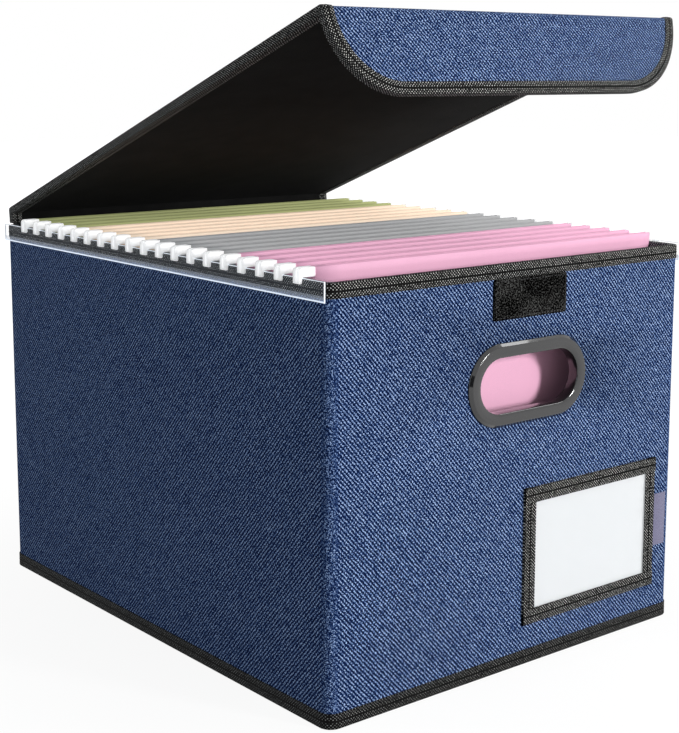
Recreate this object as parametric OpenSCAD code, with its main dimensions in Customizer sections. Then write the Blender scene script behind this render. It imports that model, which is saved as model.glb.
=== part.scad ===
// Portable file box: a linen-covered board box with a hinged lid, clear hanging
// rails on the two side walls and nineteen hanging folders.
// Millimetres, +Z up. The origin is the middle of the flat underside, X runs to the
// right along the front wall and Y runs from the front wall to the back wall.

/* [Box] */
// Width over the linen of the two side walls
box_w = 314; // [280:1:360]
// Depth over the linen of the front and back walls
box_d = 402; // [340:1:460]
// Height of the wall boards' top edges above the floor
wall_h = 270; // [264:1:320]
// Radius of the four upright corners, over the linen
corner_r = 8; // [5:0.5:14]

/* [Walls] */
// Thickness of the wall, lid and flap boards
board_t = 3; // [2:0.1:3.5]
// Thickness of the linen cover
linen_t = 0.8; // [0.5:0.1:1.2]
// Thickness of the lining
lining_t = 0.6; // [0.4:0.1:1]

/* [Floor] */
// Thickness of the floor board
floor_board_t = 3; // [2:0.1:5]
// Thickness of the cloth under the floor board
base_cloth_t = 0.6; // [0.4:0.1:1.2]
// Thickness of the loose stiffener that keeps the floor flat
insert_t = 2.5; // [1.5:0.1:4]
// Play between the stiffener and each wall
insert_play = 1; // [0.5:0.1:3]

/* [Binding tape] */
// Thickness of the woven binding tape
tape_t = 0.8; // [0.5:0.1:1.2]
// Height of the tape down each face of the rim
rim_tape_w = 8.5; // [8:0.5:14]
// Height of the tape up the foot of the walls
base_tape_w = 10; // [7:0.5:14]
// Width of the tape folded under the base
base_tape_lip = 8; // [4:0.5:12]
// Width of the tape on each face of the lid and the flap
lid_tape_w = 8; // [6:0.5:14]

/* [Handles] */
// Height of the handle openings' middle
handle_z = 193; // [170:1:205]
// Distance of the front handle and the closure patch from the middle of the front wall
front_fitting_x = 7; // [0:0.5:14]
// Width of the finger opening
handle_w = 88.5; // [76:0.5:100]
// Height of the finger opening
handle_h = 36; // [28:0.5:42]
// Width of the ring's face all round the opening
ring_flange = 9.3; // [7:0.1:11]
// Thickness of the ring's face
ring_t = 2.6; // [2.2:0.1:4]
// Chamfer round the outside of the ring's face
ring_chamfer = 1.5; // [0.6:0.1:1.8]
// Bevel round the inside of the ring's face
ring_bevel = 1; // [0.4:0.1:1.2]
// Wall of the collar that passes through the box wall
collar_t = 1.3; // [1:0.1:2]
// Width of the backing ring inside the box
backing_flange = 7; // [4:0.5:9]
// Thickness of the backing ring inside the box
backing_t = 1.6; // [1:0.1:3]

/* [Closure patches] */
// Width of the hook and loop patches
patch_w = 66; // [40:1:80]
// Height of the hook and loop patches
patch_h = 26.5; // [15:0.5:30]
// Thickness of the loop patch on the front wall
loop_t = 1.8; // [1:0.1:2]
// Thickness of the hook patch inside the flap
hook_patch_t = 1.5; // [1:0.1:1.8]

/* [Label holder] */
// Distance of the holder's right edge from the right side of the box
label_side = 21.5; // [21:0.5:40]
// Height of the holder's lower edge
label_z = 27.5; // [20:0.5:36]
// Width over the holder's tape
label_w = 130.5; // [100:0.5:132]
// Height over the holder's tape
label_h = 93.5; // [80:0.5:100]
// Width of the holder's tape
label_tape_w = 10.4; // [8:0.1:12]
// Thickness of one layer of the holder's tape
label_tape_t = 0.5; // [0.3:0.05:0.7]
// Thickness of the clear window
window_t = 0.4; // [0.3:0.05:0.6]
// Thickness of the card
card_t = 0.4; // [0.3:0.05:0.6]
// Play in front of and behind the card
card_play = 0.2; // [0.15:0.05:0.4]
// How far each edge of the card is hidden behind the tape
card_cover = 4; // [2:0.5:5]

/* [Side tab] */
// How far the satin tab stands out from the label holder
tab_w = 14; // [8:0.5:15]
// Height of the satin tab
tab_h = 38; // [25:1:45]
// Thickness of the satin tab
tab_t = 0.6; // [0.4:0.1:1]

/* [Rails] */
// Wall of the clear hanging rails
rail_t = 1; // [0.8:0.1:1.3]
// Height of the rail's outer leg, from its top
rail_outer_leg = 12.5; // [11:0.5:18]
// Height of the rail's inner leg, from its top
rail_inner_leg = 9; // [6:0.5:12]
// Distance of the rail's ends from the outside of the front and back walls
rail_end = 2; // [1.5:0.5:6]

/* [Folders] */
// Width of a folder sheet
folder_w = 299; // [278:0.5:299]
// Height of a folder, from its hooks' top to its lower fold
folder_h = 238; // [200:1:242]
// Distance of the first folder from the inside of the back wall
folder_back = 33; // [26:0.5:45]
// Distance of the last folder from the inside of the front wall
folder_front = 20.5; // [14:0.5:30]
// Thickness of the folder's card
paper_t = 0.5; // [0.3:0.05:0.6]
// Space between the two leaves of a folder
leaf_gap = 1.6; // [1.2:0.1:2.2]
// Thickness of the steel rod in each leaf
rod_t = 0.9; // [0.6:0.05:1]
// Height of the steel rod in each leaf
rod_h = 4.4; // [3.5:0.1:4.8]
// How far a rod enters its hook
rod_grip = 3; // [2:0.5:5]
// Play between a rod, its hem and its hooks
rod_play = 0.05; // [0.03:0.01:0.1]
// Thickness of a hook along the rail
hook_t = 3; // [2.2:0.1:3.2]
// Height of a hook's arm over the rail
hook_arm_h = 5.7; // [5.4:0.1:7]
// How far a hook's leg hangs down outside the rail
hook_drop = 3.8; // [2.5:0.1:6]
// Thickness of a hook's leg
hook_leg_t = 2.2; // [1.6:0.1:3]
// Play between a hook and the rail
hook_play = 0.3; // [0.3:0.05:0.6]

/* [Hinge] */
// Height of the hinge tape's leg down the back wall
hinge_leg = 9; // [6:0.5:14]
// Thickness of the hinge tape on the wall
hinge_tape_t = 1; // [0.6:0.1:1.2]
// Backward lean of the cloth hinge, in degrees
hinge_lean = 5.7; // [0:0.1:7]
// Play at the three fold lines
fold_play = 0.3; // [0.3:0.05:0.5]
// Gap between the closed lid and the hooks' tops
close_gap = 0.5; // [0.4:0.1:2]

/* [Lid] */
// Distance of the lid's edges from the sides of the box
lid_side = 4; // [3:0.5:12]
// Length of the lid, from the hinge fold to the flap fold
lid_l = 414; // [412:1:430]
// Angle at which the lid stands open, in degrees
lid_open = 20.3; // [0:0.1:60]
// Angle between the lid and the flap, in degrees
flap_angle = 84; // [84:0.5:90]
// Length of the flap from its fold
flap_l = 50; // [44:0.5:60]
// Radius of the flap's two free corners
flap_r = 54; // [20:0.5:60]

/* [Hidden] */
BOX_NODES = [
    "floor_board", "floor_insert", "base_cloth", "lining", "linen_sleeve",
    "left_wall_board", "right_wall_board", "front_wall_board", "back_wall_board",
    "rim_binding", "base_binding",
    "front_handle_ring", "front_handle_backing", "back_handle_ring", "back_handle_backing",
    "loop_patch", "label_window", "label_binding_top", "label_binding_bottom",
    "label_binding_left", "label_binding_right", "label_card", "side_tab",
    "left_rail", "right_rail", "hinge_tape", "hinge_linen", "hinge_lining",
    "lid_board", "lid_linen", "lid_lining", "lid_binding",
    "flap_board", "flap_linen", "flap_lining", "flap_binding", "hook_patch"
];
// The folders from the back wall to the front wall
GREEN_FOLDERS = [for (i = [1 : 4]) str("green_folder_", i)];
PEACH_FOLDERS = [for (i = [1 : 5]) str("peach_folder_", i)];
GREY_FOLDERS = [for (i = [1 : 5]) str("grey_folder_", i)];
PINK_FOLDERS = [for (i = [1 : 5]) str("pink_folder_", i)];
FOLDERS = concat(GREEN_FOLDERS, PEACH_FOLDERS, GREY_FOLDERS, PINK_FOLDERS);

$fn = 64;
eps = 0.01;

// Colours
linen_blue = [0.19, 0.31, 0.56];
tape_black = [0.09, 0.09, 0.09];
lining_black = [0.05, 0.05, 0.05];
board_grey = [0.62, 0.60, 0.56];
gunmetal = [0.25, 0.25, 0.25];
folder_green = [0.56, 0.60, 0.39];
folder_peach = [0.97, 0.85, 0.74];
folder_grey = [0.63, 0.64, 0.64];
folder_pink = [0.96, 0.70, 0.81];

// Wall layers, counted inwards from the linen's face
wall_t = linen_t + board_t + lining_t;
wall_inner_w = box_w - 2 * wall_t;
wall_inner_d = box_d - 2 * wall_t;
board_face = linen_t;
board_back = linen_t + board_t;

// Floor layers, counted upwards
base_cloth_top = tape_t + base_cloth_t;
floor_board_top = base_cloth_top + floor_board_t;
lining_floor_top = floor_board_top + lining_t;

// Rim and rails
lid_w = box_w - 2 * lid_side;
rim_top = wall_h + tape_t;
rail_top = rim_top + rail_t;
rail_face = box_w / 2 + tape_t + rail_t;
rail_inside = wall_inner_w / 2 - tape_t - rail_t;

// Folder hooks: the arm bridges the rail and the leg hangs outside it
hook_top = rail_top + hook_play + hook_arm_h;
hook_leg_inner = rail_face + 2 * hook_play;
hook_end = hook_leg_inner + hook_leg_t;
hem_h = rod_h + 2 * paper_t;
leaf_in = leaf_gap / 2;
rod_y = leaf_in + paper_t + rod_t / 2;
folder_first_y = wall_inner_d / 2 - folder_back;
folder_pitch = (wall_inner_d - folder_back - folder_front) / (len(FOLDERS) - 1);

// Lid layers, each half of the thickness measured from the middle plane
panel_t = wall_t;
panel_half = panel_t / 2;
taped_half = panel_half + tape_t;

// Hinge: the cloth strip turns at the wall, and the lid turns at the strip
hinge_r = taped_half;
hinge_wall_y = box_d / 2 + tape_t - hinge_r + hinge_tape_t;
hinge_wall_z = rim_top + hinge_tape_t + fold_play + hinge_r;
lid_axis_z = hook_top + close_gap + taped_half;
hinge_rise = (lid_axis_z - hinge_wall_z) / cos(hinge_lean);
// From a fold's axis to the flat edge of the panel that turns about it
fold_reach = hinge_r + 2 * fold_play + tan(90 - flap_angle) * taped_half / 2;
lid_edge = lid_w / 2 - tape_t;

// ---------- helpers ----------

// A block with rounded upright corners, centred on the origin
module rounded_block(w, d, h, r) {
    linear_extrude(h)
        union() {
            square([w - 2 * r, d], center = true);
            square([w, d - 2 * r], center = true);
            for (sx = [-1, 1])
                for (sy = [-1, 1])
                    translate([sx * (w / 2 - r), sy * (d / 2 - r)])
                        circle(r);
        }
}

// The box's plan, drawn in by a distance and extruded between two heights
module box_plan(inset, z0, z1) {
    translate([0, 0, z0])
        rounded_block(box_w - 2 * inset, box_d - 2 * inset, z1 - z0, max(corner_r - inset, 0.5));
}

// The straight-sided plan inside the wall boards
module inner_plan(inset, z0, z1) {
    translate([-box_w / 2 + inset, -box_d / 2 + inset, z0])
        cube([box_w - 2 * inset, box_d - 2 * inset, z1 - z0]);
}

// A slot with round ends
module stadium(w, h) {
    union() {
        square([w - h, h], center = true);
        for (s = [-1, 1])
            translate([s * (w - h) / 2, 0])
                circle(h / 2);
    }
}

// A slot-shaped block that gains or loses a distance all round over its height
module stadium_taper(w, h, t, grow) {
    straight = w - h;
    union() {
        for (s = [-1, 1])
            translate([s * straight / 2, 0, 0])
                cylinder(r1 = h / 2, r2 = h / 2 + grow, h = t);
        translate([-straight / 2, 0, 0])
            rotate([90, 0, 90])
                linear_extrude(straight)
                    polygon([[-h / 2, 0], [h / 2, 0], [h / 2 + grow, t], [-h / 2 - grow, t]]);
    }
}

// The handle's own directions: z points out of the wall
module at_front_handle() {
    translate([front_fitting_x, -box_d / 2, handle_z])
        rotate([90, 0, 0])
            children();
}

module at_back_handle() {
    translate([0, box_d / 2, handle_z])
        rotate([90, 0, 180])
            children();
}

// The hole that a collar fills, through the whole wall
module collar_hole() {
    translate([0, 0, -wall_t - eps])
        linear_extrude(wall_t + 2 * eps)
            stadium(handle_w + 2 * collar_t, handle_h + 2 * collar_t);
}

// ---------- box ----------

module base_cloth() {
    color(lining_black)
        union() {
            box_plan(base_tape_lip, 0, tape_t + eps);
            box_plan(linen_t, tape_t, base_cloth_top);
        }
}

module floor_board() {
    color(board_grey)
        box_plan(linen_t, base_cloth_top, floor_board_top);
}

module lining() {
    color(lining_black)
        difference() {
            inner_plan(board_back, floor_board_top, wall_h);
            inner_plan(wall_t, lining_floor_top, wall_h + eps);
            at_front_handle() collar_hole();
            at_back_handle() collar_hole();
        }
}

module floor_insert() {
    color(lining_black)
        inner_plan(wall_t + insert_play, lining_floor_top, lining_floor_top + insert_t);
}

module linen_sleeve() {
    color(linen_blue)
        difference() {
            box_plan(0, tape_t, wall_h);
            box_plan(linen_t, 0, wall_h + eps);
            at_front_handle() collar_hole();
            at_back_handle() collar_hole();
        }
}

// The front and back boards reach the corners, and the side boards stand between them
module end_board_slab() {
    difference() {
        box_plan(board_face, floor_board_top, wall_h);
        translate([-box_w / 2, -box_d / 2 + board_back, 0])
            cube([box_w, box_d, wall_h + eps]);
    }
}

module side_board() {
    color(board_grey)
        intersection() {
            box_plan(board_face, floor_board_top, wall_h);
            translate([-box_w / 2 + board_face, -box_d / 2 + board_back, floor_board_top])
                cube([board_t, box_d - 2 * board_back, wall_h - floor_board_top]);
        }
}

module left_wall_board() {
    side_board();
}

module right_wall_board() {
    mirror([1, 0, 0])
        side_board();
}

module front_wall_board() {
    color(board_grey)
        difference() {
            end_board_slab();
            at_front_handle() collar_hole();
        }
}

module back_wall_board() {
    color(board_grey)
        difference() {
            mirror([0, 1, 0])
                end_board_slab();
            at_back_handle() collar_hole();
        }
}

module rim_binding() {
    color(tape_black)
        difference() {
            box_plan(-tape_t, wall_h - rim_tape_w, rim_top);
            inner_plan(wall_t + tape_t, 0, rim_top + eps);
            difference() {
                box_plan(0, 0, wall_h);
                inner_plan(wall_t, 0, wall_h + eps);
            }
        }
}

module base_binding() {
    color(tape_black)
        difference() {
            box_plan(-tape_t, 0, base_tape_w);
            box_plan(0, tape_t, base_tape_w + eps);
            box_plan(base_tape_lip, -eps, tape_t + eps);
        }
}

// ---------- handles ----------

module handle_ring() {
    face_w = handle_w + 2 * ring_flange;
    face_h = handle_h + 2 * ring_flange;
    collar_l = wall_t + backing_t;
    color(gunmetal)
        difference() {
            union() {
                linear_extrude(ring_t - ring_chamfer)
                    stadium(face_w, face_h);
                translate([0, 0, ring_t - ring_chamfer])
                    stadium_taper(face_w, face_h, ring_chamfer, -ring_chamfer);
                translate([0, 0, -collar_l])
                    linear_extrude(collar_l + eps)
                        stadium(handle_w + 2 * collar_t, handle_h + 2 * collar_t);
            }
            translate([0, 0, -collar_l - eps])
                linear_extrude(collar_l + ring_t + 2 * eps)
                    stadium(handle_w, handle_h);
            translate([0, 0, ring_t - ring_bevel])
                stadium_taper(handle_w, handle_h, ring_bevel + eps, ring_bevel + eps);
        }
}

module handle_backing() {
    color(gunmetal)
        translate([0, 0, -wall_t - backing_t])
            difference() {
                linear_extrude(backing_t)
                    stadium(
                        handle_w + 2 * (collar_t + backing_flange),
                        handle_h + 2 * (collar_t + backing_flange)
                    );
                translate([0, 0, -eps])
                    linear_extrude(backing_t + 2 * eps)
                        stadium(handle_w + 2 * collar_t, handle_h + 2 * collar_t);
            }
}

module front_handle_ring() {
    at_front_handle() handle_ring();
}

module front_handle_backing() {
    at_front_handle() handle_backing();
}

module back_handle_ring() {
    at_back_handle() handle_ring();
}

module back_handle_backing() {
    at_back_handle() handle_backing();
}

// ---------- front fittings ----------

module loop_patch() {
    color(lining_black)
        translate([front_fitting_x - patch_w / 2, -box_d / 2 - loop_t, wall_h - rim_tape_w - patch_h])
            cube([patch_w, loop_t, patch_h]);
}

label_x = box_w / 2 - label_side - label_w;
// Layers of the holder, counted outwards from the wall's linen
card_y = card_play;
window_y = card_y + card_t + card_play + label_tape_t;
holder_t = window_y + window_t + label_tape_t;
label_opening_w = label_w - 2 * label_tape_w;
label_opening_h = label_h - 2 * label_tape_w;
// The window's edge lies halfway into the folded tape
window_cover = label_tape_w / 2;

// A flat block on the front wall: x and z from the holder's corner, y outwards
module on_label(x, y, z, w, t, h) {
    translate([label_x + x, -box_d / 2 - y - t, label_z + z])
        cube([w, t, h]);
}

module label_window() {
    color([0.9, 0.95, 1, 0.3])
        on_label(
            label_tape_w - window_cover, window_y, label_tape_w - window_cover,
            label_opening_w + 2 * window_cover, window_t, label_opening_h + 2 * window_cover
        );
}

// The tape down the left side holds the window's edge and is sewn to the wall
module label_binding_left() {
    color(tape_black)
        difference() {
            on_label(0, 0, label_tape_w, label_tape_w, holder_t, label_opening_h);
            on_label(
                label_tape_w - window_cover, window_y, 0,
                window_cover + eps, window_t, label_h
            );
            on_label(
                label_tape_w - card_cover - card_play, -eps, 0,
                card_cover + card_play + eps, window_y - label_tape_t + eps, label_h
            );
        }
}

module label_binding_right() {
    translate([2 * label_x + label_w, 0, 0])
        mirror([1, 0, 0])
            label_binding_left();
}

module label_binding_bottom() {
    color(tape_black)
        difference() {
            on_label(0, 0, 0, label_w, holder_t, label_tape_w);
            on_label(
                label_tape_w - window_cover, window_y, label_tape_w - window_cover,
                label_opening_w + 2 * window_cover, window_t, window_cover + eps
            );
            on_label(
                label_tape_w - card_cover - card_play, -eps, label_tape_w - card_cover - card_play,
                label_opening_w + 2 * (card_cover + card_play), window_y - label_tape_t + eps,
                card_cover + card_play + eps
            );
        }
}

// The top tape hems the window only, so the card slides in behind it
module label_binding_top() {
    color(tape_black)
        difference() {
            on_label(0, 0, label_h - label_tape_w, label_w, holder_t, label_tape_w);
            on_label(
                label_tape_w - window_cover, window_y, label_h - label_tape_w - eps,
                label_opening_w + 2 * window_cover, window_t, window_cover + eps
            );
            on_label(
                label_tape_w - card_cover - card_play, -eps, label_h - label_tape_w - eps,
                label_opening_w + 2 * (card_cover + card_play), window_y - label_tape_t + eps,
                label_tape_w + 2 * eps
            );
        }
}

module label_card() {
    color([0.95, 0.95, 0.95])
        on_label(
            label_tape_w - card_cover, card_y, label_tape_w - card_cover,
            label_opening_w + 2 * card_cover, card_t, label_opening_h + 2 * card_cover
        );
}

module side_tab() {
    color([0.62, 0.62, 0.68])
        on_label(label_w, 0, (label_h - tab_h) / 2, tab_w, tab_t, tab_h);
}

// ---------- rails ----------

module right_rail() {
    rail_l = box_d - 2 * rail_end;
    // The inner leg stops short of the front and back walls
    inner_l = wall_inner_d - 4 * tape_t;
    top_w = rail_face - rail_inside;
    color([0.85, 0.92, 0.97, 0.35])
        union() {
            translate([rail_inside, -rail_l / 2, rim_top])
                cube([top_w, rail_l, rail_t]);
            translate([rail_face - rail_t, -rail_l / 2, rail_top - rail_outer_leg])
                cube([rail_t, rail_l, rail_outer_leg]);
            translate([rail_inside, -inner_l / 2, rail_top - rail_inner_leg])
                cube([rail_t, inner_l, rail_inner_leg]);
        }
}

module left_rail() {
    mirror([1, 0, 0])
        right_rail();
}

// ---------- folders ----------

// Section of the folded sheet: two leaves, a hem round each rod and the lower fold
module folder_section() {
    hem_out = leaf_in + 2 * paper_t + rod_t;
    bottom = hook_top - folder_h;
    difference() {
        union() {
            translate([-leaf_in - paper_t, bottom])
                square([leaf_gap + 2 * paper_t, folder_h]);
            translate([-hem_out, hook_top - hem_h])
                square([2 * hem_out, hem_h]);
        }
        translate([-leaf_in, bottom + paper_t])
            square([leaf_gap, folder_h]);
        for (s = [-1, 1])
            translate([s * rod_y - rod_t / 2 - rod_play, hook_top - paper_t - rod_h - rod_play])
                square([rod_t + 2 * rod_play, rod_h + 2 * rod_play]);
    }
}

module folder_sheet() {
    translate([-folder_w / 2, 0, 0])
        rotate([90, 0, 90])
            linear_extrude(folder_w)
                folder_section();
}

module folder_rods() {
    rod_l = folder_w + 2 * rod_grip;
    for (s = [-1, 1])
        translate([-rod_l / 2, s * rod_y - rod_t / 2, hook_top - paper_t - rod_h])
            cube([rod_l, rod_t, rod_h]);
}

// A white hook on the right-hand end of a rod
module folder_hook() {
    round_r = 1.8;
    sheet_end = folder_w / 2 + rod_play;
    arm_l = hook_end - sheet_end;
    translate([sheet_end, hook_t / 2, hook_top])
        rotate([90, 0, 0])
            difference() {
                linear_extrude(hook_t)
                    union() {
                        translate([0, -hook_arm_h])
                            square([arm_l - round_r, hook_arm_h]);
                        translate([arm_l - round_r - eps, -hook_arm_h])
                            square([round_r + eps, hook_arm_h - round_r]);
                        translate([arm_l - round_r, -round_r])
                            circle(round_r);
                        translate([arm_l - hook_leg_t, -hook_arm_h - hook_drop])
                            square([hook_leg_t, hook_drop + eps]);
                    }
                translate([-eps, -paper_t - rod_h - rod_play, (hook_t - rod_t) / 2 - rod_play])
                    cube([rod_grip + rod_play + eps, rod_h + 2 * rod_play, rod_t + 2 * rod_play]);
            }
}

module folder_hooks() {
    for (s = [-1, 1])
        translate([0, s * rod_y, 0]) {
            folder_hook();
            mirror([1, 0, 0])
                folder_hook();
        }
}

module folder(index, tint) {
    translate([0, folder_first_y - index * folder_pitch, 0]) {
        color(tint) folder_sheet();
        color([0.7, 0.7, 0.7]) folder_rods();
        color([0.96, 0.96, 0.96]) folder_hooks();
    }
}

// ---------- hinge ----------

// The tape folds over the rim between the rails and runs down the back wall
module hinge_tape() {
    tape_w = 2 * rail_inside - 2;
    back = box_d / 2 + tape_t;
    color(tape_black)
        union() {
            translate([-tape_w / 2, wall_inner_d / 2 - tape_t, rim_top])
                cube([tape_w, back - wall_inner_d / 2 + tape_t + hinge_tape_t, hinge_tape_t]);
            translate([-tape_w / 2, back, rim_top - hinge_leg])
                cube([tape_w, hinge_tape_t, hinge_leg + eps]);
        }
}

// Into the strip's own directions: y runs up the strip from its lower fold, z outwards
module at_hinge() {
    translate([0, hinge_wall_y, hinge_wall_z])
        rotate([90 - hinge_lean, 0, 0])
            mirror([0, 0, 1])
                children();
}

// A strip with two round edges, each centred on a fold line
module hinge_blank() {
    translate([-lid_edge, 0, 0])
        rotate([90, 0, 90])
            linear_extrude(2 * lid_edge)
                union() {
                    translate([0, -hinge_r])
                        square([hinge_rise, 2 * hinge_r]);
                    circle(hinge_r);
                    translate([hinge_rise, 0])
                        circle(hinge_r);
                }
}

module hinge_half(side) {
    at_hinge()
        intersection() {
            hinge_blank();
            translate([-lid_w, -hinge_rise - lid_w, side > 0 ? lining_t - hinge_r : -hinge_r - 1])
                cube([2 * lid_w, 2 * lid_w + 2 * hinge_rise, side > 0 ? 2 * hinge_r : lining_t + 1]);
        }
}

module hinge_linen() {
    color(linen_blue)
        hinge_half(1);
}

module hinge_lining() {
    color(lining_black)
        hinge_half(-1);
}

// ---------- lid ----------

// Into the lid's own directions: y runs from the hinge fold to the flap fold, z outwards
module at_lid() {
    translate([0, hinge_wall_y + hinge_rise * sin(hinge_lean), lid_axis_z])
        rotate([-lid_open, 0, 0])
            mirror([0, 1, 0])
                children();
}

// One layer of the lid between two heights from its middle plane
module lid_layer(z0, z1) {
    translate([-lid_edge, fold_reach, z0])
        cube([2 * lid_edge, lid_l - fold_reach, z1 - z0]);
}

// The lid's whole thickness, with a round front edge centred on the flap's fold
module lid_blank(edge, half) {
    translate([-edge, 0, 0])
        rotate([90, 0, 90])
            linear_extrude(2 * edge)
                union() {
                    translate([fold_reach, -half])
                        square([lid_l - fold_reach, 2 * half]);
                    translate([lid_l, 0])
                        circle(half);
                }
}

module lid_board() {
    color(board_grey)
        at_lid()
            lid_layer(lining_t - panel_half, panel_half - linen_t);
}

// The linen runs on round the lid's front edge
module lid_linen() {
    color(linen_blue)
        at_lid()
            difference() {
                lid_blank(lid_edge, panel_half);
                translate([-lid_w, fold_reach - eps, -panel_half - 1])
                    cube([2 * lid_w, lid_l - fold_reach + eps, panel_half + 1 + panel_half - linen_t]);
            }
}

module lid_lining() {
    color(lining_black)
        at_lid()
            lid_layer(-panel_half, lining_t - panel_half);
}

module lid_binding() {
    color(tape_black)
        at_lid()
            difference() {
                lid_blank(lid_w / 2, taped_half);
                lid_blank(lid_edge, panel_half);
                translate([-lid_w / 2 + lid_tape_w, 0, -lid_w])
                    cube([lid_w - 2 * lid_tape_w, 2 * lid_l, 2 * lid_w]);
            }
}

// ---------- flap ----------

// Into the flap's own directions: y runs from its fold to its free edge, z outwards
module at_flap() {
    at_lid()
        translate([0, lid_l, 0])
            rotate([flap_angle - 180, 0, 0])
                children();
}

// The flap's outline, drawn in by a distance on its three free edges.
// Its corners may be rounder than the flap is long, so they are cut off at its start.
module flap_outline(inset, start = fold_reach) {
    r = flap_r - inset;
    half = lid_w / 2 - inset;
    free = flap_l - inset;
    corner_y = free - r;
    intersection() {
        union() {
            translate([-half, corner_y - lid_l])
                square([2 * half, lid_l]);
            translate([r - half, corner_y - 1])
                square([2 * (half - r), r + 1]);
            for (s = [-1, 1])
                translate([s * (half - r), corner_y])
                    circle(r);
        }
        translate([-half, start])
            square([2 * half, free - start]);
    }
}

module flap_layer(inset, z0, z1) {
    translate([0, 0, z0])
        linear_extrude(z1 - z0)
            flap_outline(inset);
}

module flap_board() {
    color(board_grey)
        at_flap()
            flap_layer(tape_t, lining_t - panel_half, panel_half - linen_t);
}

module flap_linen() {
    color(linen_blue)
        at_flap()
            flap_layer(tape_t, panel_half - linen_t, panel_half);
}

module flap_lining() {
    color(lining_black)
        at_flap()
            flap_layer(tape_t, -panel_half, lining_t - panel_half);
}

module flap_binding() {
    color(tape_black)
        at_flap()
            difference() {
                flap_layer(0, -taped_half, taped_half);
                translate([0, 0, -panel_half])
                    linear_extrude(panel_t)
                        flap_outline(tape_t, fold_reach - 1);
                translate([0, 0, -lid_w])
                    linear_extrude(2 * lid_w)
                        flap_outline(lid_tape_w, fold_reach - 1);
            }
}

module hook_patch() {
    patch_y = flap_l - lid_tape_w - patch_h;
    color(lining_black)
        at_flap()
            translate([front_fitting_x - patch_w / 2, patch_y, -panel_half - hook_patch_t])
                cube([patch_w, patch_h, hook_patch_t]);
}

// ---------- nodes ----------

floor_board();
floor_insert();
base_cloth();
lining();
linen_sleeve();
left_wall_board();
right_wall_board();
front_wall_board();
back_wall_board();
rim_binding();
base_binding();
front_handle_ring();
front_handle_backing();
back_handle_ring();
back_handle_backing();
loop_patch();
label_window();
label_binding_top();
label_binding_bottom();
label_binding_left();
label_binding_right();
label_card();
side_tab();
left_rail();
right_rail();
hinge_tape();
hinge_linen();
hinge_lining();
lid_board();
lid_linen();
lid_lining();
lid_binding();
flap_board();
flap_linen();
flap_lining();
flap_binding();
hook_patch();
for (i = [0 : len(FOLDERS) - 1])
    folder(
            i,
            i < 4 ? folder_green : i < 9 ? folder_peach : i < 14 ? folder_grey : folder_pink
        );
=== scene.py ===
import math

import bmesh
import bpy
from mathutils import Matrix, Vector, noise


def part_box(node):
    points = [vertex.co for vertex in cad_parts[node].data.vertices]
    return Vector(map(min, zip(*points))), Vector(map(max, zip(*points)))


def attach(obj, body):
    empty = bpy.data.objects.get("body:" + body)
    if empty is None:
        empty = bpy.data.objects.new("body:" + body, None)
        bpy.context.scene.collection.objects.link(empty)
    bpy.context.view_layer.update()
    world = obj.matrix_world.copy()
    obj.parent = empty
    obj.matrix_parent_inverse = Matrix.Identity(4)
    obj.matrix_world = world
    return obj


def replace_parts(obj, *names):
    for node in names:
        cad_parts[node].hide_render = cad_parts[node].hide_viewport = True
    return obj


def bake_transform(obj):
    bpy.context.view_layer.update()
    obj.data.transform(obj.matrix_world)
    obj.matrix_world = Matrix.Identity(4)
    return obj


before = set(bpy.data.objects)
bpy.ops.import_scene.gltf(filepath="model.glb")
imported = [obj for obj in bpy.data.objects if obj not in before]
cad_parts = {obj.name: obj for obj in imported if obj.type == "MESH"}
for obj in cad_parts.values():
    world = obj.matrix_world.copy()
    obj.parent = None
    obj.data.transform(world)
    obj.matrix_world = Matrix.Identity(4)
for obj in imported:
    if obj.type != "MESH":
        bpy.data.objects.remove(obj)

# %% [markdown]
# # A portable file box in linen-look cloth
# The real box is grey board covered in blue cloth, bound with black tape, with clear rails
# that carry nineteen coloured folders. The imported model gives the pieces' places and joints.
# Here each soft or shaped piece is made again with rounder edges, seams and stitches, and
# each piece rides on the body that it belongs to. Pieces are drawn in millimetres and
# brought to metres once, when they become objects.

MM = 0.001
scene = bpy.context.scene
scene.view_settings.view_transform = "Standard"
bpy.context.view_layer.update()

# %% [markdown]
# The camera stands where the photograph was taken: left of the front corner and a little
# above the rim. Its place and turn come from a fit of some seventy points of the box. The
# lens is found from the focal length in pixels, and a small shift puts the point that the
# camera looks at where it lies in the photograph.

# %% Camera at the photograph's place
PHOTO_W, PHOTO_H = 679, 733
SENSOR_MM = 36
focal_px, look_x, look_y = 1517.5, 390.6, 301.2
camera_at = Vector((-685.3, -875.1, 395.2))
turn, tilt, roll = math.radians(40.456), math.radians(-8.913), math.radians(0.356)
ahead = Vector((math.sin(turn) * math.cos(tilt), math.cos(turn) * math.cos(tilt), math.sin(tilt)))
level = Vector((math.cos(turn), -math.sin(turn), 0))
above = level.cross(ahead)
right = math.cos(roll) * level + math.sin(roll) * above
up = math.cos(roll) * above - math.sin(roll) * level
camera_turn = Matrix((right, up, -ahead)).transposed().to_4x4()

lens = bpy.data.cameras.new("photo_camera")
lens.sensor_fit = "VERTICAL"
lens.sensor_height = SENSOR_MM
lens.lens = focal_px * SENSOR_MM / PHOTO_H
lens.shift_x = (PHOTO_W / 2 - look_x) / PHOTO_H
lens.shift_y = (look_y - PHOTO_H / 2) / PHOTO_H
camera = bpy.data.objects.new("photo_camera", lens)
camera.matrix_world = Matrix.Translation(camera_at * MM) @ camera_turn
scene.collection.objects.link(camera)
scene.camera = camera
print("lens", round(lens.lens, 2), "shift", round(lens.shift_x, 4), round(lens.shift_y, 4))

# %% [markdown]
# Shader trees are long to write out, so three short helpers place a node, wire two sockets
# and do a sum. A socket or a plain number can go into each input.

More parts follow.
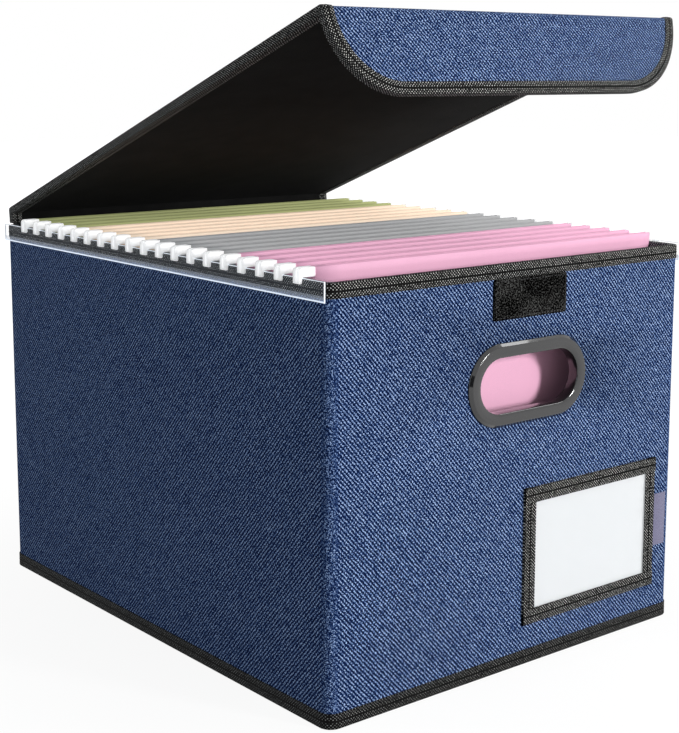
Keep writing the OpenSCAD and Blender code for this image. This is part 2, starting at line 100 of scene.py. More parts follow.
# %% Helpers for shader trees
def place(tree, kind, **settings):
    """Adds a node and sets its properties."""
    node = tree.nodes.new(kind)
    for key, value in settings.items():
        setattr(node, key, value)
    return node


def feed(tree, socket, source):
    """Wires a socket into another, or sets a plain value on it."""
    if isinstance(source, bpy.types.NodeSocket):
        tree.links.new(source, socket)
    else:
        socket.default_value = source


def reckon(tree, operation, *inputs, clamp=False):
    """A Math node with its inputs filled."""
    node = place(tree, "ShaderNodeMath", operation=operation, use_clamp=clamp)
    for socket, source in zip(node.inputs, inputs):
        feed(tree, socket, source)
    return node.outputs[0]


def speckle(tree, where, scale, detail=2.0, stretch=(1, 1, 1), roughness=0.5):
    """Noise over a vector, stretched along its axes: a value about 0.5."""
    mapping = place(tree, "ShaderNodeMapping")
    mapping.inputs["Scale"].default_value = [scale * s for s in stretch]
    feed(tree, mapping.inputs["Vector"], where)
    node = place(tree, "ShaderNodeTexNoise")
    feed(tree, node.inputs["Vector"], mapping.outputs[0])
    node.inputs["Scale"].default_value = 1.0
    node.inputs["Detail"].default_value = detail
    node.inputs["Roughness"].default_value = roughness
    return node.outputs["Fac"]


def sway(tree, *noise_settings):
    """The same noise about zero, to push a value either way."""
    return reckon(tree, "SUBTRACT", speckle(tree, *noise_settings), 0.5)


def new_group(name, inputs, outputs):
    """An empty node group with named sockets, and its two end nodes."""
    tree = bpy.data.node_groups.new(name, "ShaderNodeTree")
    for label, kind, value in inputs:
        socket = tree.interface.new_socket(label, in_out="INPUT", socket_type=kind)
        if value is not None:
            socket.default_value = value
    for label in outputs:
        tree.interface.new_socket(label, in_out="OUTPUT", socket_type="NodeSocketFloat")
    return tree, place(tree, "NodeGroupInput").outputs, place(tree, "NodeGroupOutput").inputs


# %% [markdown]
# The blue cloth is a plain weave of pale threads over navy ones, about 1.5 mm apart, with
# uneven spun threads. Two crossed waves make the chequer of over and under, and giving one
# of them more weight makes the slanting lines that the cloth shows. Threads are counted, and
# a noise that jumps from thread to thread, but changes slowly along each one, gives every
# thread its own thick and thin places. The satin tab uses the same group with finer threads.

# %% Group: woven threads
weave, given, result = new_group(
    "woven_threads",
    [
        ("Position", "NodeSocketVector", None),
        ("Thread mm", "NodeSocketFloat", 1.48),
        ("Slant", "NodeSocketFloat", 0.23),
        ("Wander mm", "NodeSocketFloat", 1.1),
        ("Unevenness", "NodeSocketFloat", 0.88),
    ],
    ["Pale", "Height"],
)
split = place(weave, "ShaderNodeSeparateXYZ")
feed(weave, split.inputs[0], given["Position"])


def thread_count(tree, along, where, offset, apart):
    """A place counted in threads that wander a little; apart is how widely they are spaced."""
    drift = sway(tree, where, 0.3, 1.5, (1, 1.2 - offset, 1))
    place_mm = reckon(tree, "MULTIPLY_ADD", drift, given["Wander mm"], along)
    return reckon(tree, "DIVIDE", place_mm, reckon(tree, "MULTIPLY", given["Thread mm"], apart))


def yarn_tone(tree, number, run, offset):
    """Each thread has its own shade, which swells and thins along its length."""
    whole = reckon(tree, "FLOOR", reckon(tree, "ADD", number, 0.5))
    spot = place(tree, "ShaderNodeCombineXYZ")
    for socket, source in zip(spot.inputs, (reckon(tree, "MULTIPLY", whole, 3.7), run, offset)):
        feed(tree, socket, source)
    return speckle(tree, spot.outputs[0], 1.0, 1.0, (1, 0.22, 1))


warp = thread_count(weave, split.outputs[0], given["Position"], 0.0, 0.97)
weft = thread_count(weave, split.outputs[1], given["Position"], 0.4, 1.05)
falling = reckon(weave, "COSINE", reckon(weave, "MULTIPLY", reckon(weave, "ADD", warp, weft), math.pi))
rising = reckon(weave, "COSINE", reckon(weave, "MULTIPLY", reckon(weave, "SUBTRACT", warp, weft), math.pi))
heavy = reckon(weave, "MULTIPLY", falling, reckon(weave, "ADD", 0.5, given["Slant"]))
light = reckon(weave, "MULTIPLY", rising, reckon(weave, "SUBTRACT", 0.5, given["Slant"]))
chequer = reckon(weave, "MULTIPLY_ADD", reckon(weave, "ADD", heavy, light), 0.43, 0.505)
upright_yarn = yarn_tone(weave, warp, split.outputs[1], 0.0)
level_yarn = yarn_tone(weave, weft, split.outputs[0], 9.0)
fibres = sway(weave, given["Position"], 1.3, 1.0)
yarn = reckon(weave, "SUBTRACT", reckon(weave, "ADD", upright_yarn, level_yarn), 1.0)
yarn = reckon(weave, "MULTIPLY_ADD", fibres, 2.5, reckon(weave, "MULTIPLY", yarn, 0.4))
feed(weave, result["Pale"], reckon(weave, "MULTIPLY_ADD", yarn, given["Unevenness"], chequer, clamp=True))
feed(weave, result["Height"], reckon(weave, "MULTIPLY_ADD", yarn, 0.3, chequer))
print("group", weave.name, "with", len(weave.nodes), "nodes")

# %% [markdown]
# Binding tape is a herringbone: ribs of pale yarn on black, about 2 mm apart, that lean one
# way on one half of its width and the other way on the other half, with a dark line between.
# A second, weaker set of ribs crosses them, so that each rib is a row of short floats. The
# pattern reads the piece's own map, in which the second number is the distance from the
# tape's middle line.

# %% Group: herringbone ribs
ribs, given, result = new_group(
    "herringbone_ribs",
    [("Position", "NodeSocketVector", None), ("Rib mm", "NodeSocketFloat", 2.15)],
    ["Lit rib", "Height"],
)
split = place(ribs, "ShaderNodeSeparateXYZ")
feed(ribs, split.inputs[0], given["Position"])
shake = reckon(ribs, "MULTIPLY", sway(ribs, given["Position"], 0.5, 1.0), 0.6)
off_middle = reckon(ribs, "ABSOLUTE", split.outputs[1])
turns = reckon(ribs, "DIVIDE", 2 * math.pi, given["Rib mm"])
start = reckon(ribs, "ADD", split.outputs[0], shake)
wave, crossing = (
    reckon(ribs, "SINE", reckon(ribs, "MULTIPLY", reckon(ribs, way, start, off_middle), turns))
    for way in ("ADD", "SUBTRACT")
)
floats = reckon(ribs, "MULTIPLY_ADD", reckon(ribs, "MULTIPLY_ADD", crossing, 0.6, wave), 0.31, 0.5)
spine = reckon(ribs, "MULTIPLY_ADD", off_middle, 2.0, 0.2, clamp=True)
yarn_spots = sway(ribs, given["Position"], 1.2, 1.0)
feed(ribs, result["Height"], floats)
spotted = reckon(ribs, "MULTIPLY_ADD", yarn_spots, 0.8, floats)
feed(ribs, result["Lit rib"], reckon(ribs, "MULTIPLY", spotted, spine, clamp=True))
print("group", ribs.name, "with", len(ribs.nodes), "nodes")

# %% [markdown]
# Felted cloth, paper and board all have fibres with no order. One group gives a fine grain
# and a slow cloudiness, from noise of two sizes.

# %% Group: loose fibres
felt, given, result = new_group(
    "loose_fibres",
    [
        ("Position", "NodeSocketVector", None),
        ("Grain mm", "NodeSocketFloat", 0.5),
        ("Cloud mm", "NodeSocketFloat", 25.0),
    ],
    ["Grain", "Clouds"],
)
for label, output in (("Grain mm", "Grain"), ("Cloud mm", "Clouds")):
    sized = place(felt, "ShaderNodeVectorMath", operation="DIVIDE")
    feed(felt, sized.inputs[0], given["Position"])
    feed(felt, sized.inputs[1], given[label])
    feed(felt, result[output], speckle(felt, sized.outputs[0], 1.0, 3.0, (1, 1, 1), 0.6))
print("group", felt.name, "with", len(felt.nodes), "nodes")

# %% [markdown]
# Each finish is one material: a Principled shader, whose steady values are set on its own
# sockets, and colours that come through a ramp from one of the groups. Cloth and tape read
# the piece's own map, which is in millimetres along the cloth, so the weave turns with the
# cloth over every fold. Board, plastic and paper read the object's coordinates.

# %% Helpers for materials
def new_finish(name, **steady):
    """A material, its tree and its Principled shader with steady values set."""
    material = bpy.data.materials.new(name)
    material.use_nodes = True
    shader = material.node_tree.nodes["Principled BSDF"]
    for key, value in steady.items():
        shader.inputs[key.replace("_", " ")].default_value = value
    return material, material.node_tree, shader


def millimetres(tree, on_cloth):
    """The place on the cloth's own map, or in the object, in millimetres."""
    if on_cloth:
        return place(tree, "ShaderNodeUVMap", uv_map="cloth").outputs[0]
    scaled = place(tree, "ShaderNodeVectorMath", operation="SCALE")
    feed(tree, scaled.inputs[0], place(tree, "ShaderNodeTexCoord").outputs["Object"])
    scaled.inputs["Scale"].default_value = 1000
    return scaled.outputs[0]


def use_group(tree, group, **values):
    """Places a node group and fills its named inputs."""
    node = place(tree, "ShaderNodeGroup", node_tree=group)
    for key, value in values.items():
        feed(tree, node.inputs[key.replace("_", " ")], value)
    return node.outputs


def colours(tree, value, *stops):
    """A colour ramp over a value; each stop is a place and a linear colour."""
    ramp = place(tree, "ShaderNodeValToRGB")
    feed(tree, ramp.inputs[0], value)
    while len(ramp.color_ramp.elements) < len(stops):
        ramp.color_ramp.elements.new(0.5)
    for element, (at, colour) in zip(ramp.color_ramp.elements, stops):
        element.position = at
        element.color = (*colour, 1)
    return ramp.outputs["Color"]


def raise_grain(tree, shader, height, depth_mm, strength=1.0):
    """A bump of a real depth in millimetres, fed to the shader's normal."""
    bump = place(tree, "ShaderNodeBump")
    bump.inputs["Distance"].default_value = depth_mm * MM
    bump.inputs["Strength"].default_value = strength
    feed(tree, bump.inputs["Height"], height)
    feed(tree, shader.inputs["Normal"], bump.outputs[0])


def shade_of(colour, times):
    """The same colour, darker or lighter."""
    return tuple(channel * times for channel in colour)


# %% Cloth finishes
def linen_finish():
    """Blue linen, whose weave is paler and broken along the box's upright corners: partly wear, partly
    painted light where the corners turn away from the lamp.
    """
    material, tree, shader = new_finish("blue_linen", Roughness=0.85, Specular_IOR_Level=0.05)
    where = millimetres(tree, True)
    threads = use_group(tree, weave, Position=where)
    clouds = use_group(tree, felt, Position=where)["Clouds"]
    tone = reckon(tree, "MULTIPLY_ADD", reckon(tree, "SUBTRACT", clouds, 0.5), 0.04, threads["Pale"])
    # Wear and painted light: the upright corners are made paler and speckled, partly as worn cloth and partly
    # to light corners that turn away from the lamp.
    wear_and_painted_light = place(tree, "ShaderNodeAttribute", attribute_name="wear_and_painted_light").outputs["Fac"]
    speckle_of_wear_and_light = reckon(tree, "MULTIPLY_ADD", speckle(tree, millimetres(tree, False), 1.4, 1.0), 2.4, -0.60)
    change = reckon(tree, "MULTIPLY", reckon(tree, "SUBTRACT", speckle_of_wear_and_light, tone), wear_and_painted_light)
    tone = reckon(tree, "MULTIPLY_ADD", change, 0.85, tone)
    colour = colours(
        tree, tone,
        (0.0, (0.001, 0.005, 0.030)), (0.45, (0.002, 0.010, 0.055)), (0.62, (0.014, 0.044, 0.155)),
        (0.80, (0.160, 0.255, 0.480)), (0.98, (0.420, 0.560, 0.840)),
    )
    feed(tree, shader.inputs["Base Color"], colour)
    raise_grain(tree, shader, threads["Height"], 0.3, 0.8)
    return material


def tape_finish(name, pale):
    """Herringbone tape; pale is how bright its pale yarn is."""
    material, tree, shader = new_finish(name, Roughness=0.7, Specular_IOR_Level=0.08)
    rib = use_group(tree, ribs, Position=millimetres(tree, True))
    colour = colours(
        tree, rib["Lit rib"],
        (0.62, (0.0015, 0.0015, 0.0015)), (0.79, shade_of((0.022, 0.022, 0.021), pale)),
        (0.97, shade_of((0.80, 0.80, 0.77), pale)),
    )
    feed(tree, shader.inputs["Base Color"], colour)
    raise_grain(tree, shader, rib["Height"], 0.2)
    return material


def felt_finish(name, dark, pale, grain_mm, depth_mm, on_cloth=True, spread=(0.38, 0.68), **steady):
    """Fibres from dark to pale; spread says where in the noise each colour is reached."""
    material, tree, shader = new_finish(name, **steady)
    where = millimetres(tree, on_cloth)
    fibre = use_group(tree, felt, Position=where, Grain_mm=grain_mm)
    tone = reckon(tree, "MULTIPLY_ADD", fibre["Clouds"], 0.25, reckon(tree, "MULTIPLY", fibre["Grain"], 0.75))
    feed(tree, shader.inputs["Base Color"], colours(tree, tone, (spread[0], dark), (spread[1], pale)))
    raise_grain(tree, shader, fibre["Grain"], depth_mm)
    return material


linen = linen_finish()
tape = tape_finish("black_tape", 1.0)
# The base binding's tape is a darker copy of the same tape, with its pale yarn at 0.40.
base_tape = tape_finish("black_base_tape", 0.40)
lining_cloth = felt_finish(
    "black_lining", (0.003, 0.003, 0.003), (0.016, 0.016, 0.016), 0.45, 0.12,
    Roughness=0.9, Specular_IOR_Level=0.04, Sheen_Weight=0.01, Sheen_Roughness=0.5,
)
loop_pile = felt_finish(
    "loop_pile", (0.0005, 0.0005, 0.0005), (0.160, 0.160, 0.155), 1.1, 0.6, spread=(0.50, 0.72),
    Roughness=0.95, Specular_IOR_Level=0.0,
)
thread = felt_finish(
    "black_thread", (0.010, 0.010, 0.011), (0.050, 0.050, 0.054), 0.2, 0.05, on_cloth=False,
    Roughness=0.5, Specular_IOR_Level=0.4,
)
print("cloth finishes:", [m.name for m in (linen, tape, base_tape, lining_cloth, loop_pile, thread)])


# %% Paper and board finishes
def card_finish(name, colour, spread=0.05, grain_mm=0.35, glow=0.0):
    """Card of a colour, with a painted glow: light of its own that brightens folders in the lid's shade."""
    return felt_finish(
        name, shade_of(colour, 1 - spread), shade_of(colour, 1 + spread), grain_mm, 0.02, on_cloth=False,
        Roughness=0.6, Specular_IOR_Level=0.35, Emission_Color=(*colour, 1), Emission_Strength=glow,
    )


# For each tint, the colour of the card and the strength of its painted glow, which lightens the folders that
# lie in the lid's shade
FOLDER_TINTS = {
    "green": ((0.440, 0.470, 0.200), 0.03),
    "peach": ((0.960, 0.770, 0.600), 0.14),
    "grey": ((0.430, 0.432, 0.438), 0.04),
    "pink": ((0.950, 0.500, 0.690), 0.0),
}
folder_cards = {
    tint: card_finish(tint + "_card", colour, glow=glow) for tint, (colour, glow) in FOLDER_TINTS.items()
}
white_card = card_finish("white_card", (0.880, 0.850, 0.825), 0.02)
greyboard = card_finish("greyboard", (0.34, 0.32, 0.28), 0.25, 0.8)
print("papers:", list(folder_cards), white_card.name, greyboard.name)


# %% [markdown]
# The plastic parts differ in gloss and in how much light goes through them. Moulded plastic
# is never perfectly even, so a slow noise moves its roughness a little. The clear parts let
# what lies behind them through by their alpha, so that light reaches it too. The rails' sawn
# edges have their own finish with a painted glow, light of their own that stands for the
# light that runs along inside the sheet. The white hooks have a painted glow as well.

# %% Plastic, film, satin and steel finishes
# The colour of the painted glow on the rails' sawn edges and along their foot.
PAINTED_EDGE_GLOW = (0.85, 0.92, 1.0, 1)


def plastic_finish(name, colour, rough, spread=0.06, **steady):
    """Moulded plastic or metal, whose roughness swings a little about a middle value."""
    material, tree, shader = new_finish(name, Base_Color=(*colour, 1), **steady)
    cloud = use_group(tree, felt, Position=millimetres(tree, False), Cloud_mm=9.0)
    swing = reckon(tree, "MULTIPLY_ADD", reckon(tree, "SUBTRACT", cloud["Clouds"], 0.5), spread * 2, rough)
    feed(tree, shader.inputs["Roughness"], swing)
    raise_grain(tree, shader, cloud["Grain"], 0.004, 0.2)
    return material


def rail_finish():
    """Clear sheet, milky over its last millimetres, with a painted glowing line along the sawn foot."""
    material, tree, shader = new_finish(
        "clear_rail", Base_Color=(0.72, 0.80, 0.95, 1), Roughness=0.07, IOR=1.49,
        Coat_Weight=0.5, Coat_Roughness=0.03, Emission_Color=PAINTED_EDGE_GLOW,
    )
    split = place(tree, "ShaderNodeSeparateXYZ")
    feed(tree, split.inputs[0], millimetres(tree, False))
    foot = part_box("right_rail")[0].z / MM
    milk = reckon(tree, "MULTIPLY_ADD", split.outputs[2], -3.0, (foot + 3.9) * 3.0, clamp=True)
    line = reckon(tree, "MULTIPLY_ADD", split.outputs[2], -4.0, (foot + 0.9) * 4.0, clamp=True)
    milk = reckon(tree, "MULTIPLY_ADD", milk, 0.24, 0.04)
    feed(tree, shader.inputs["Alpha"], reckon(tree, "MULTIPLY_ADD", line, 0.6, milk))
    # Painted glow: a line of light of its own along the sawn foot.
    feed(tree, shader.inputs["Emission Strength"], reckon(tree, "MULTIPLY", line, 0.55))
    return material


def satin_finish():
    """Ribbon of fine threads, with the same weave as the linen at a smaller size."""
    material, tree, shader = new_finish("satin_tab", Roughness=0.35, Sheen_Weight=0.2, Specular_IOR_Level=0.5)
    where = millimetres(tree, True)
    threads = use_group(tree, weave, Position=where, Thread_mm=0.35, Slant=0.3, Wander_mm=0.1)
    colour = colours(tree, threads["Pale"], (0.0, (0.105, 0.100, 0.175)), (1.0, (0.220, 0.210, 0.340)))
    feed(tree, shader.inputs["Base Color"], colour)
    raise_grain(tree, shader, threads["Height"], 0.04)
    return material


gunmetal = plastic_finish(
    "gunmetal_plastic", (0.014, 0.014, 0.015), 0.12,
    Specular_IOR_Level=0.42, Coat_Weight=0.75, Coat_Roughness=0.03,
)
hook_pile = plastic_finish("hook_pile", (0.012, 0.012, 0.013), 0.5)
# Painted glow: the white hooks give out light of their own, so that their shaded sides stay white.
white_plastic_painted_glow = plastic_finish(
    "white_plastic_painted_glow", (0.92, 0.93, 0.94), 0.35,
    Subsurface_Weight=1.0, Subsurface_Radius=(1, 1, 1), Subsurface_Scale=0.006,
    Emission_Color=(1, 1, 1, 1), Emission_Strength=0.34,
)
steel = plastic_finish("rod_steel", (0.60, 0.60, 0.62), 0.3, Metallic=1.0)
rail_clear = rail_finish()
# Painted glow: the sawn edges give out light of their own.
rail_edge_painted_glow = plastic_finish(
    "rail_sawn_edge_painted_glow", (0.90, 0.94, 1.0), 0.4, Emission_Color=PAINTED_EDGE_GLOW, Emission_Strength=0.35,
)
film = plastic_finish("clear_film", (0.9, 0.9, 0.9), 0.05, 0.02, Alpha=0.06)
satin = satin_finish()
print("plastics:", [m.name for m in (gunmetal, hook_pile, white_plastic_painted_glow, rail_clear, rail_edge_painted_glow, film, steel)])

# %% [markdown]
# The stage is a pale floor and a white world, as in a shop photograph. For the camera, and
# for what glass and gloss show, the floor is mostly a steady white with some of its true
# light in it near the box, so that the box keeps a soft shadow. The main lamp stands at the
# front right, low enough to shine under the open lid and through the handle hole. Two weak
# ones, on the left and high on the right, light the side wall and the tops of the folders.

# %% Stage, lamps and world
def seen_directly(tree):
    """1 for rays that show a surface: camera, glossy and transmission."""
    path = place(tree, "ShaderNodeLightPath")
    either = reckon(tree, "MAXIMUM", path.outputs["Is Camera Ray"], path.outputs["Is Glossy Ray"])
    return reckon(tree, "MAXIMUM", either, path.outputs["Is Transmission Ray"])


def floor_finish():
    """A pale floor, which rays that show it see as white away from the box."""
    material, tree, shader = new_finish("pale_floor", Roughness=0.9, Specular_IOR_Level=0.1)
    fibre = use_group(tree, felt, Position=millimetres(tree, False), Cloud_mm=80.0)
    colour = colours(tree, fibre["Clouds"], (0.0, (0.48, 0.48, 0.48)), (1.0, (0.52, 0.52, 0.52)))
    feed(tree, shader.inputs["Base Color"], colour)
    away = place(tree, "ShaderNodeVectorMath", operation="LENGTH")
    feed(tree, away.inputs[0], place(tree, "ShaderNodeTexCoord").outputs["Object"])
    whitening = reckon(tree, "MULTIPLY_ADD", away.outputs["Value"], 0.2, 0.76, clamp=True)
    glow = place(tree, "ShaderNodeEmission")
    glow.inputs["Strength"].default_value = 1.15
    mix = place(tree, "ShaderNodeMixShader")
    feed(tree, mix.inputs[0], reckon(tree, "MULTIPLY", seen_directly(tree), whitening))
    feed(tree, mix.inputs[1], shader.outputs[0])
    feed(tree, mix.inputs[2], glow.outputs[0])
    feed(tree, tree.nodes["Material Output"].inputs["Surface"], mix.outputs[0])
    return material


def stage_object(name, bm, finish):
    """An object of the stage, from a bmesh in metres. It isn't part of the box."""
    mesh = bpy.data.meshes.new(name)
    bm.to_mesh(mesh)
    bm.free()
    mesh.materials.append(finish)
    item = bpy.data.objects.new(name, mesh)
    scene.collection.objects.link(item)
    return item


bm = bmesh.new()
bmesh.ops.create_grid(bm, x_segments=8, y_segments=8, size=6.0)
stage_object("pale_floor", bm, floor_finish())

world = bpy.data.worlds.new("white_studio")
scene.world = world
world.use_nodes = True
sky = world.node_tree
fill = sky.nodes["Background"]
fill.inputs["Color"].default_value = (1, 1, 1, 1)
feed(sky, fill.inputs["Strength"], reckon(sky, "MULTIPLY_ADD", seen_directly(sky), 0.75, 0.25))


def soft_lamp(name, at, aim, wide, tall, watts, tint=(1, 1, 1)):
    """A soft box that faces a point; places are in metres."""
    lamp = bpy.data.lights.new(name, "AREA")
    lamp.shape = "RECTANGLE"
    lamp.size, lamp.size_y = wide, tall
    lamp.energy, lamp.color = watts, tint
    lamp_object = bpy.data.objects.new(name, lamp)
    facing = (Vector(aim) - Vector(at)).to_track_quat("-Z", "Y").to_matrix().to_4x4()
    lamp_object.matrix_world = Matrix.Translation(at) @ facing
    scene.collection.objects.link(lamp_object)


soft_lamp("front_softbox", (1.35, -3.5, 1.00), (0, -0.1, 0.20), 0.5, 1.0, 112)
soft_lamp("left_softbox", (-3.0, -0.6, 1.0), (0, 0, 0.20), 1.2, 1.2, 11, (0.72, 0.87, 1.0))
soft_lamp("top_softbox", (1.6, -0.5, 2.2), (0, 0, 0.2), 0.9, 0.9, 14)

# %% [markdown]
# Gloss shows what stands round it, and in an all-white room a glossy rim looks flat. So a
# dark card stands beside the camera, turned to the handle, and only gloss sees it.

# %% Dark card beside the camera
# Stands a flat drawing up, so that it faces the front; the pieces on the walls use it too
UPRIGHT = Matrix.Rotation(math.pi / 2, 4, "X")
card_place = Matrix.Translation((-2.0, -1.9, 0.35)) @ Matrix.Rotation(math.radians(-50), 4, "Z")
bm = bmesh.new()
bmesh.ops.create_grid(
    bm, x_segments=1, y_segments=1, size=0.5, matrix=card_place @ UPRIGHT @ Matrix.Diagonal((1.6, 1.3, 1, 1))
)
dull_black = new_finish("dark_card", Base_Color=(0, 0, 0, 1), Roughness=1.0, Specular_IOR_Level=0.0)[0]
dark_card = stage_object("dark_card", bm, dull_black)
for ray in ("camera", "diffuse", "transmission", "volume_scatter", "shadow"):
    setattr(dark_card, "visible_" + ray, False)

# %% [markdown]
# Most of this box is loops of the same rounded rectangle at other sizes: the walls, the
# bindings at rim and base, the handle rings and the patches. So one helper draws such a
# loop, by rounding the corners of a one-face grid, and another bridges a list of them.
# Every piece then gets a map in millimetres of cloth, by a short rule for each piece.

# %% Helpers for shapes
def round_face(bm, wide, tall, radius, where, arc, is_round=lambda corner: True):
    """A flat face in the plane of the matrix, with all or some of its corners rounded."""
    corners = bmesh.ops.create_grid(
        bm, x_segments=1, y_segments=1, size=0.5, matrix=where @ Matrix.Diagonal((wide, tall, 1, 1))
    )["verts"]
    rounded = [v for v in corners if is_round(v.co)]
    if rounded:
        bmesh.ops.bevel(
            bm, geom=rounded, offset=radius, offset_type="OFFSET", affect="VERTICES",
            segments=arc, profile=0.5, material=-1, clamp_overlap=False,
        )


def round_loop(bm, wide, tall, radius, where, arc=8):
    """The edges of a rectangle with round corners, drawn in the plane of the matrix."""
    before = set(bm.faces)
    round_face(bm, wide, tall, radius, where, arc)
    face = next(f for f in bm.faces if f not in before)
    edges = list(face.edges)
    bmesh.ops.delete(bm, geom=[face], context="FACES_ONLY")
    return edges


def slot_loop(bm, wide, tall, where, arc=8):
    """A slot with round ends; the hair that stays straight keeps its corners apart."""
    return round_loop(bm, wide, tall, tall / 2 - 0.01, where, arc)


def bridge(bm, loops, closed):
    """Joins each loop to the next with faces; a closed run joins the last to the first."""
    pairs = list(zip(loops, loops[1:] + loops[:1])) if closed else list(zip(loops, loops[1:]))
    for one, other in pairs:
        bmesh.ops.bridge_loops(bm, edges=one + other)


def bridge_and_cap(bm, loops):
    """A closed solid: bridged loops, with a face over the first and the last."""
    bridge(bm, loops, False)
    for end in (loops[0], loops[-1]):
        bmesh.ops.contextual_create(bm, geom=end)


def verts_of(geometry):
    """The vertices among what an operator gives back."""
    return [g for g in geometry if isinstance(g, bmesh.types.BMVert)]


def whole(faces):
    """Faces with their edges and vertices, as the cutting operator wants them."""
    return faces + list({e for f in faces for e in f.edges}) + list({v for f in faces for v in f.verts})


def flat_map(bm, rule):
    """Writes the cloth map: rule gives along and across, in mm, for a point and its normal."""
    layer = bm.loops.layers.uv.new("cloth")
    for face in bm.faces:
        for corner in face.loops:
            corner[layer].uv = rule(corner.vert.co, face.normal)


def by_facing(point, normal):
    """A plain rule: the two directions that lie most in the face."""
    sizes = [abs(n) for n in normal]
    if sizes[2] == max(sizes):
        return point.x, point.y
    return (point.y, point.z) if sizes[0] > sizes[1] else (point.x, point.z)


def make_piece(name, bm, *finishes, sharp=35):
    """Turns a bmesh in millimetres into an object in metres, with smooth faces."""
    bmesh.ops.recalc_face_normals(bm, faces=bm.faces)
    if not bm.loops.layers.uv:
        flat_map(bm, by_facing)
    bmesh.ops.scale(bm, vec=(MM, MM, MM), verts=bm.verts)
    mesh = bpy.data.meshes.new(name)
    bm.to_mesh(mesh)
    bm.free()
    for finish in finishes:
        mesh.materials.append(finish)
    mesh.shade_smooth()
    mesh.set_sharp_from_angle(angle=math.radians(sharp))
    piece = bpy.data.objects.new(name, mesh)
    scene.collection.objects.link(piece)
    return piece


def soften(piece, width_mm, segments=2, limit=40):
    """A small round on every sharp edge, so that it catches light."""
    bevel = piece.modifiers.new("soft_edges", "BEVEL")
    bevel.width = width_mm * MM
    bevel.segments = segments
    bevel.limit_method = "ANGLE"
    bevel.angle_limit = math.radians(limit)
    return piece


def belongs(piece, body, *nodes, slot=None):
    """The piece rides on a body and stands for CAD nodes; slot is not used."""
    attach(piece, body)
    if nodes:
        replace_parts(piece, *nodes)
    return piece


def cut_from(piece, wide, long, area=None):
    """Says what size of cloth a piece was cut from, in millimetres."""
    area = area and area * MM * MM
    print(piece.name, "is cut from", round(wide), "x", round(long), "mm")


def corners_mm(node):
    """The lowest and the highest corner of a CAD node, in millimetres."""
    return [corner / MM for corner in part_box(node)]


def centre_mm(node):
    """The middle of a CAD node's box, in millimetres."""
    low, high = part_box(node)
    return (low + high) / 2 / MM


# %% [markdown]
# The walls: one sleeve of linen outside and black non-woven cloth inside. Each is a closed
# shell of bridged loops, and the two hand holes are cut through both with a slot-shaped
# cutter. Two flat faces close the lining's shell, and they are the two sides of its floor.

# %% Sizes of the box
BOX_W, BOX_D, WALL_H, CORNER_R = 314, 402, 270, 8
LINEN_T, BOARD_T, LINING_T, TAPE_T = 0.8, 3, 0.6, 0.8
WALL_T = LINEN_T + BOARD_T + LINING_T
FLOOR_TOP, LEAST_R = 5.0, 0.6
HAND_W, HAND_H, HAND_CLEAR = 88.5, 36, 2.8


def plan_loop(bm, inset, height):
    """The box's plan drawn in by a distance, at a height."""
    radius, at = max(CORNER_R - inset, LEAST_R), Matrix.Translation((0, 0, height))
    return round_loop(bm, BOX_W - 2 * inset, BOX_D - 2 * inset, radius, at)


print("walls", round(WALL_T, 1), "mm thick, round a plan of", BOX_W, "x", BOX_D, "mm")


# %% Cutter for the hand holes
def hand_hole_cutter():
    """A slot-shaped bar through the wall at each handle."""
    bm = bmesh.new()
    wide, tall, reach = HAND_W + HAND_CLEAR, HAND_H + HAND_CLEAR, 12
    for node, side in (("front_handle_ring", -1), ("back_handle_ring", 1)):
        middle = centre_mm(node)
        ends = [
            Matrix.Translation((middle.x, side * depth, middle.z)) @ UPRIGHT
            for depth in (BOX_D / 2 - reach, BOX_D / 2 + reach)
        ]
        bridge_and_cap(bm, [slot_loop(bm, wide, tall, end) for end in ends])
    return make_piece("hand_hole_cutter", bm)


def cut_through(piece, cutter):
    """Cuts the holes and keeps the result as the piece's mesh."""
    cut = piece.modifiers.new("hand_holes", "BOOLEAN")
    cut.operation = "DIFFERENCE"
    cut.solver = "EXACT"
    cut.object = cutter
    shown = piece.evaluated_get(bpy.context.evaluated_depsgraph_get())
    mesh = bpy.data.meshes.new_from_object(shown)
    piece.modifiers.clear()
    piece.data = mesh
    mesh.name = piece.name


# %% Linen sleeve and lining
def round_the_walls(point, normal):
    """Distance along the cloth and height. The cloth of the side walls is the mirror of the
    front's, as in the photograph, so the slanting lines meet in a point at each corner."""
    wide, deep = BOX_W / 2 - CORNER_R, BOX_D / 2 - CORNER_R
    x, y = point.x, point.y
    if abs(normal.z) > 0.7:
        return x, y
    over_x, over_y = max(0.0, abs(x) - wide), max(0.0, abs(y) - deep)
    if abs(normal.y) > abs(normal.x) * 0.999:
        along = min(abs(x), wide) + CORNER_R * math.atan2(over_x, over_y or 1)
        return math.copysign(along, -x * y), point.z
    bend = CORNER_R * math.atan2(over_y, over_x or 1)
    along = wide - deep - math.copysign(min(abs(y), deep) + bend, y)
    return math.copysign(1, x) * along, point.z


def linen_sleeve():
    bm = bmesh.new()
    outer = [plan_loop(bm, 0, z) for z in (TAPE_T, 70, 140, 210, WALL_H)]
    inner = [plan_loop(bm, LINEN_T, z) for z in (WALL_H, TAPE_T)]
    bridge(bm, outer + inner, True)
    flat_map(bm, round_the_walls)
    return make_piece("linen_sleeve_cloth", bm, linen)


def lining_shell():
    bm = bmesh.new()
    outside = [plan_loop(bm, WALL_T - LINING_T, z) for z in (FLOOR_TOP - LINING_T, WALL_H)]
    inside = [plan_loop(bm, WALL_T, z) for z in (WALL_H, FLOOR_TOP)]
    bridge_and_cap(bm, outside + inside)
    return make_piece("lining_cloth", bm, lining_cloth)


cutter = hand_hole_cutter()
sleeve = linen_sleeve()
inner_lining = lining_shell()
for cloth in (sleeve, inner_lining):
    cut_through(cloth, cutter)
bpy.data.objects.remove(cutter)


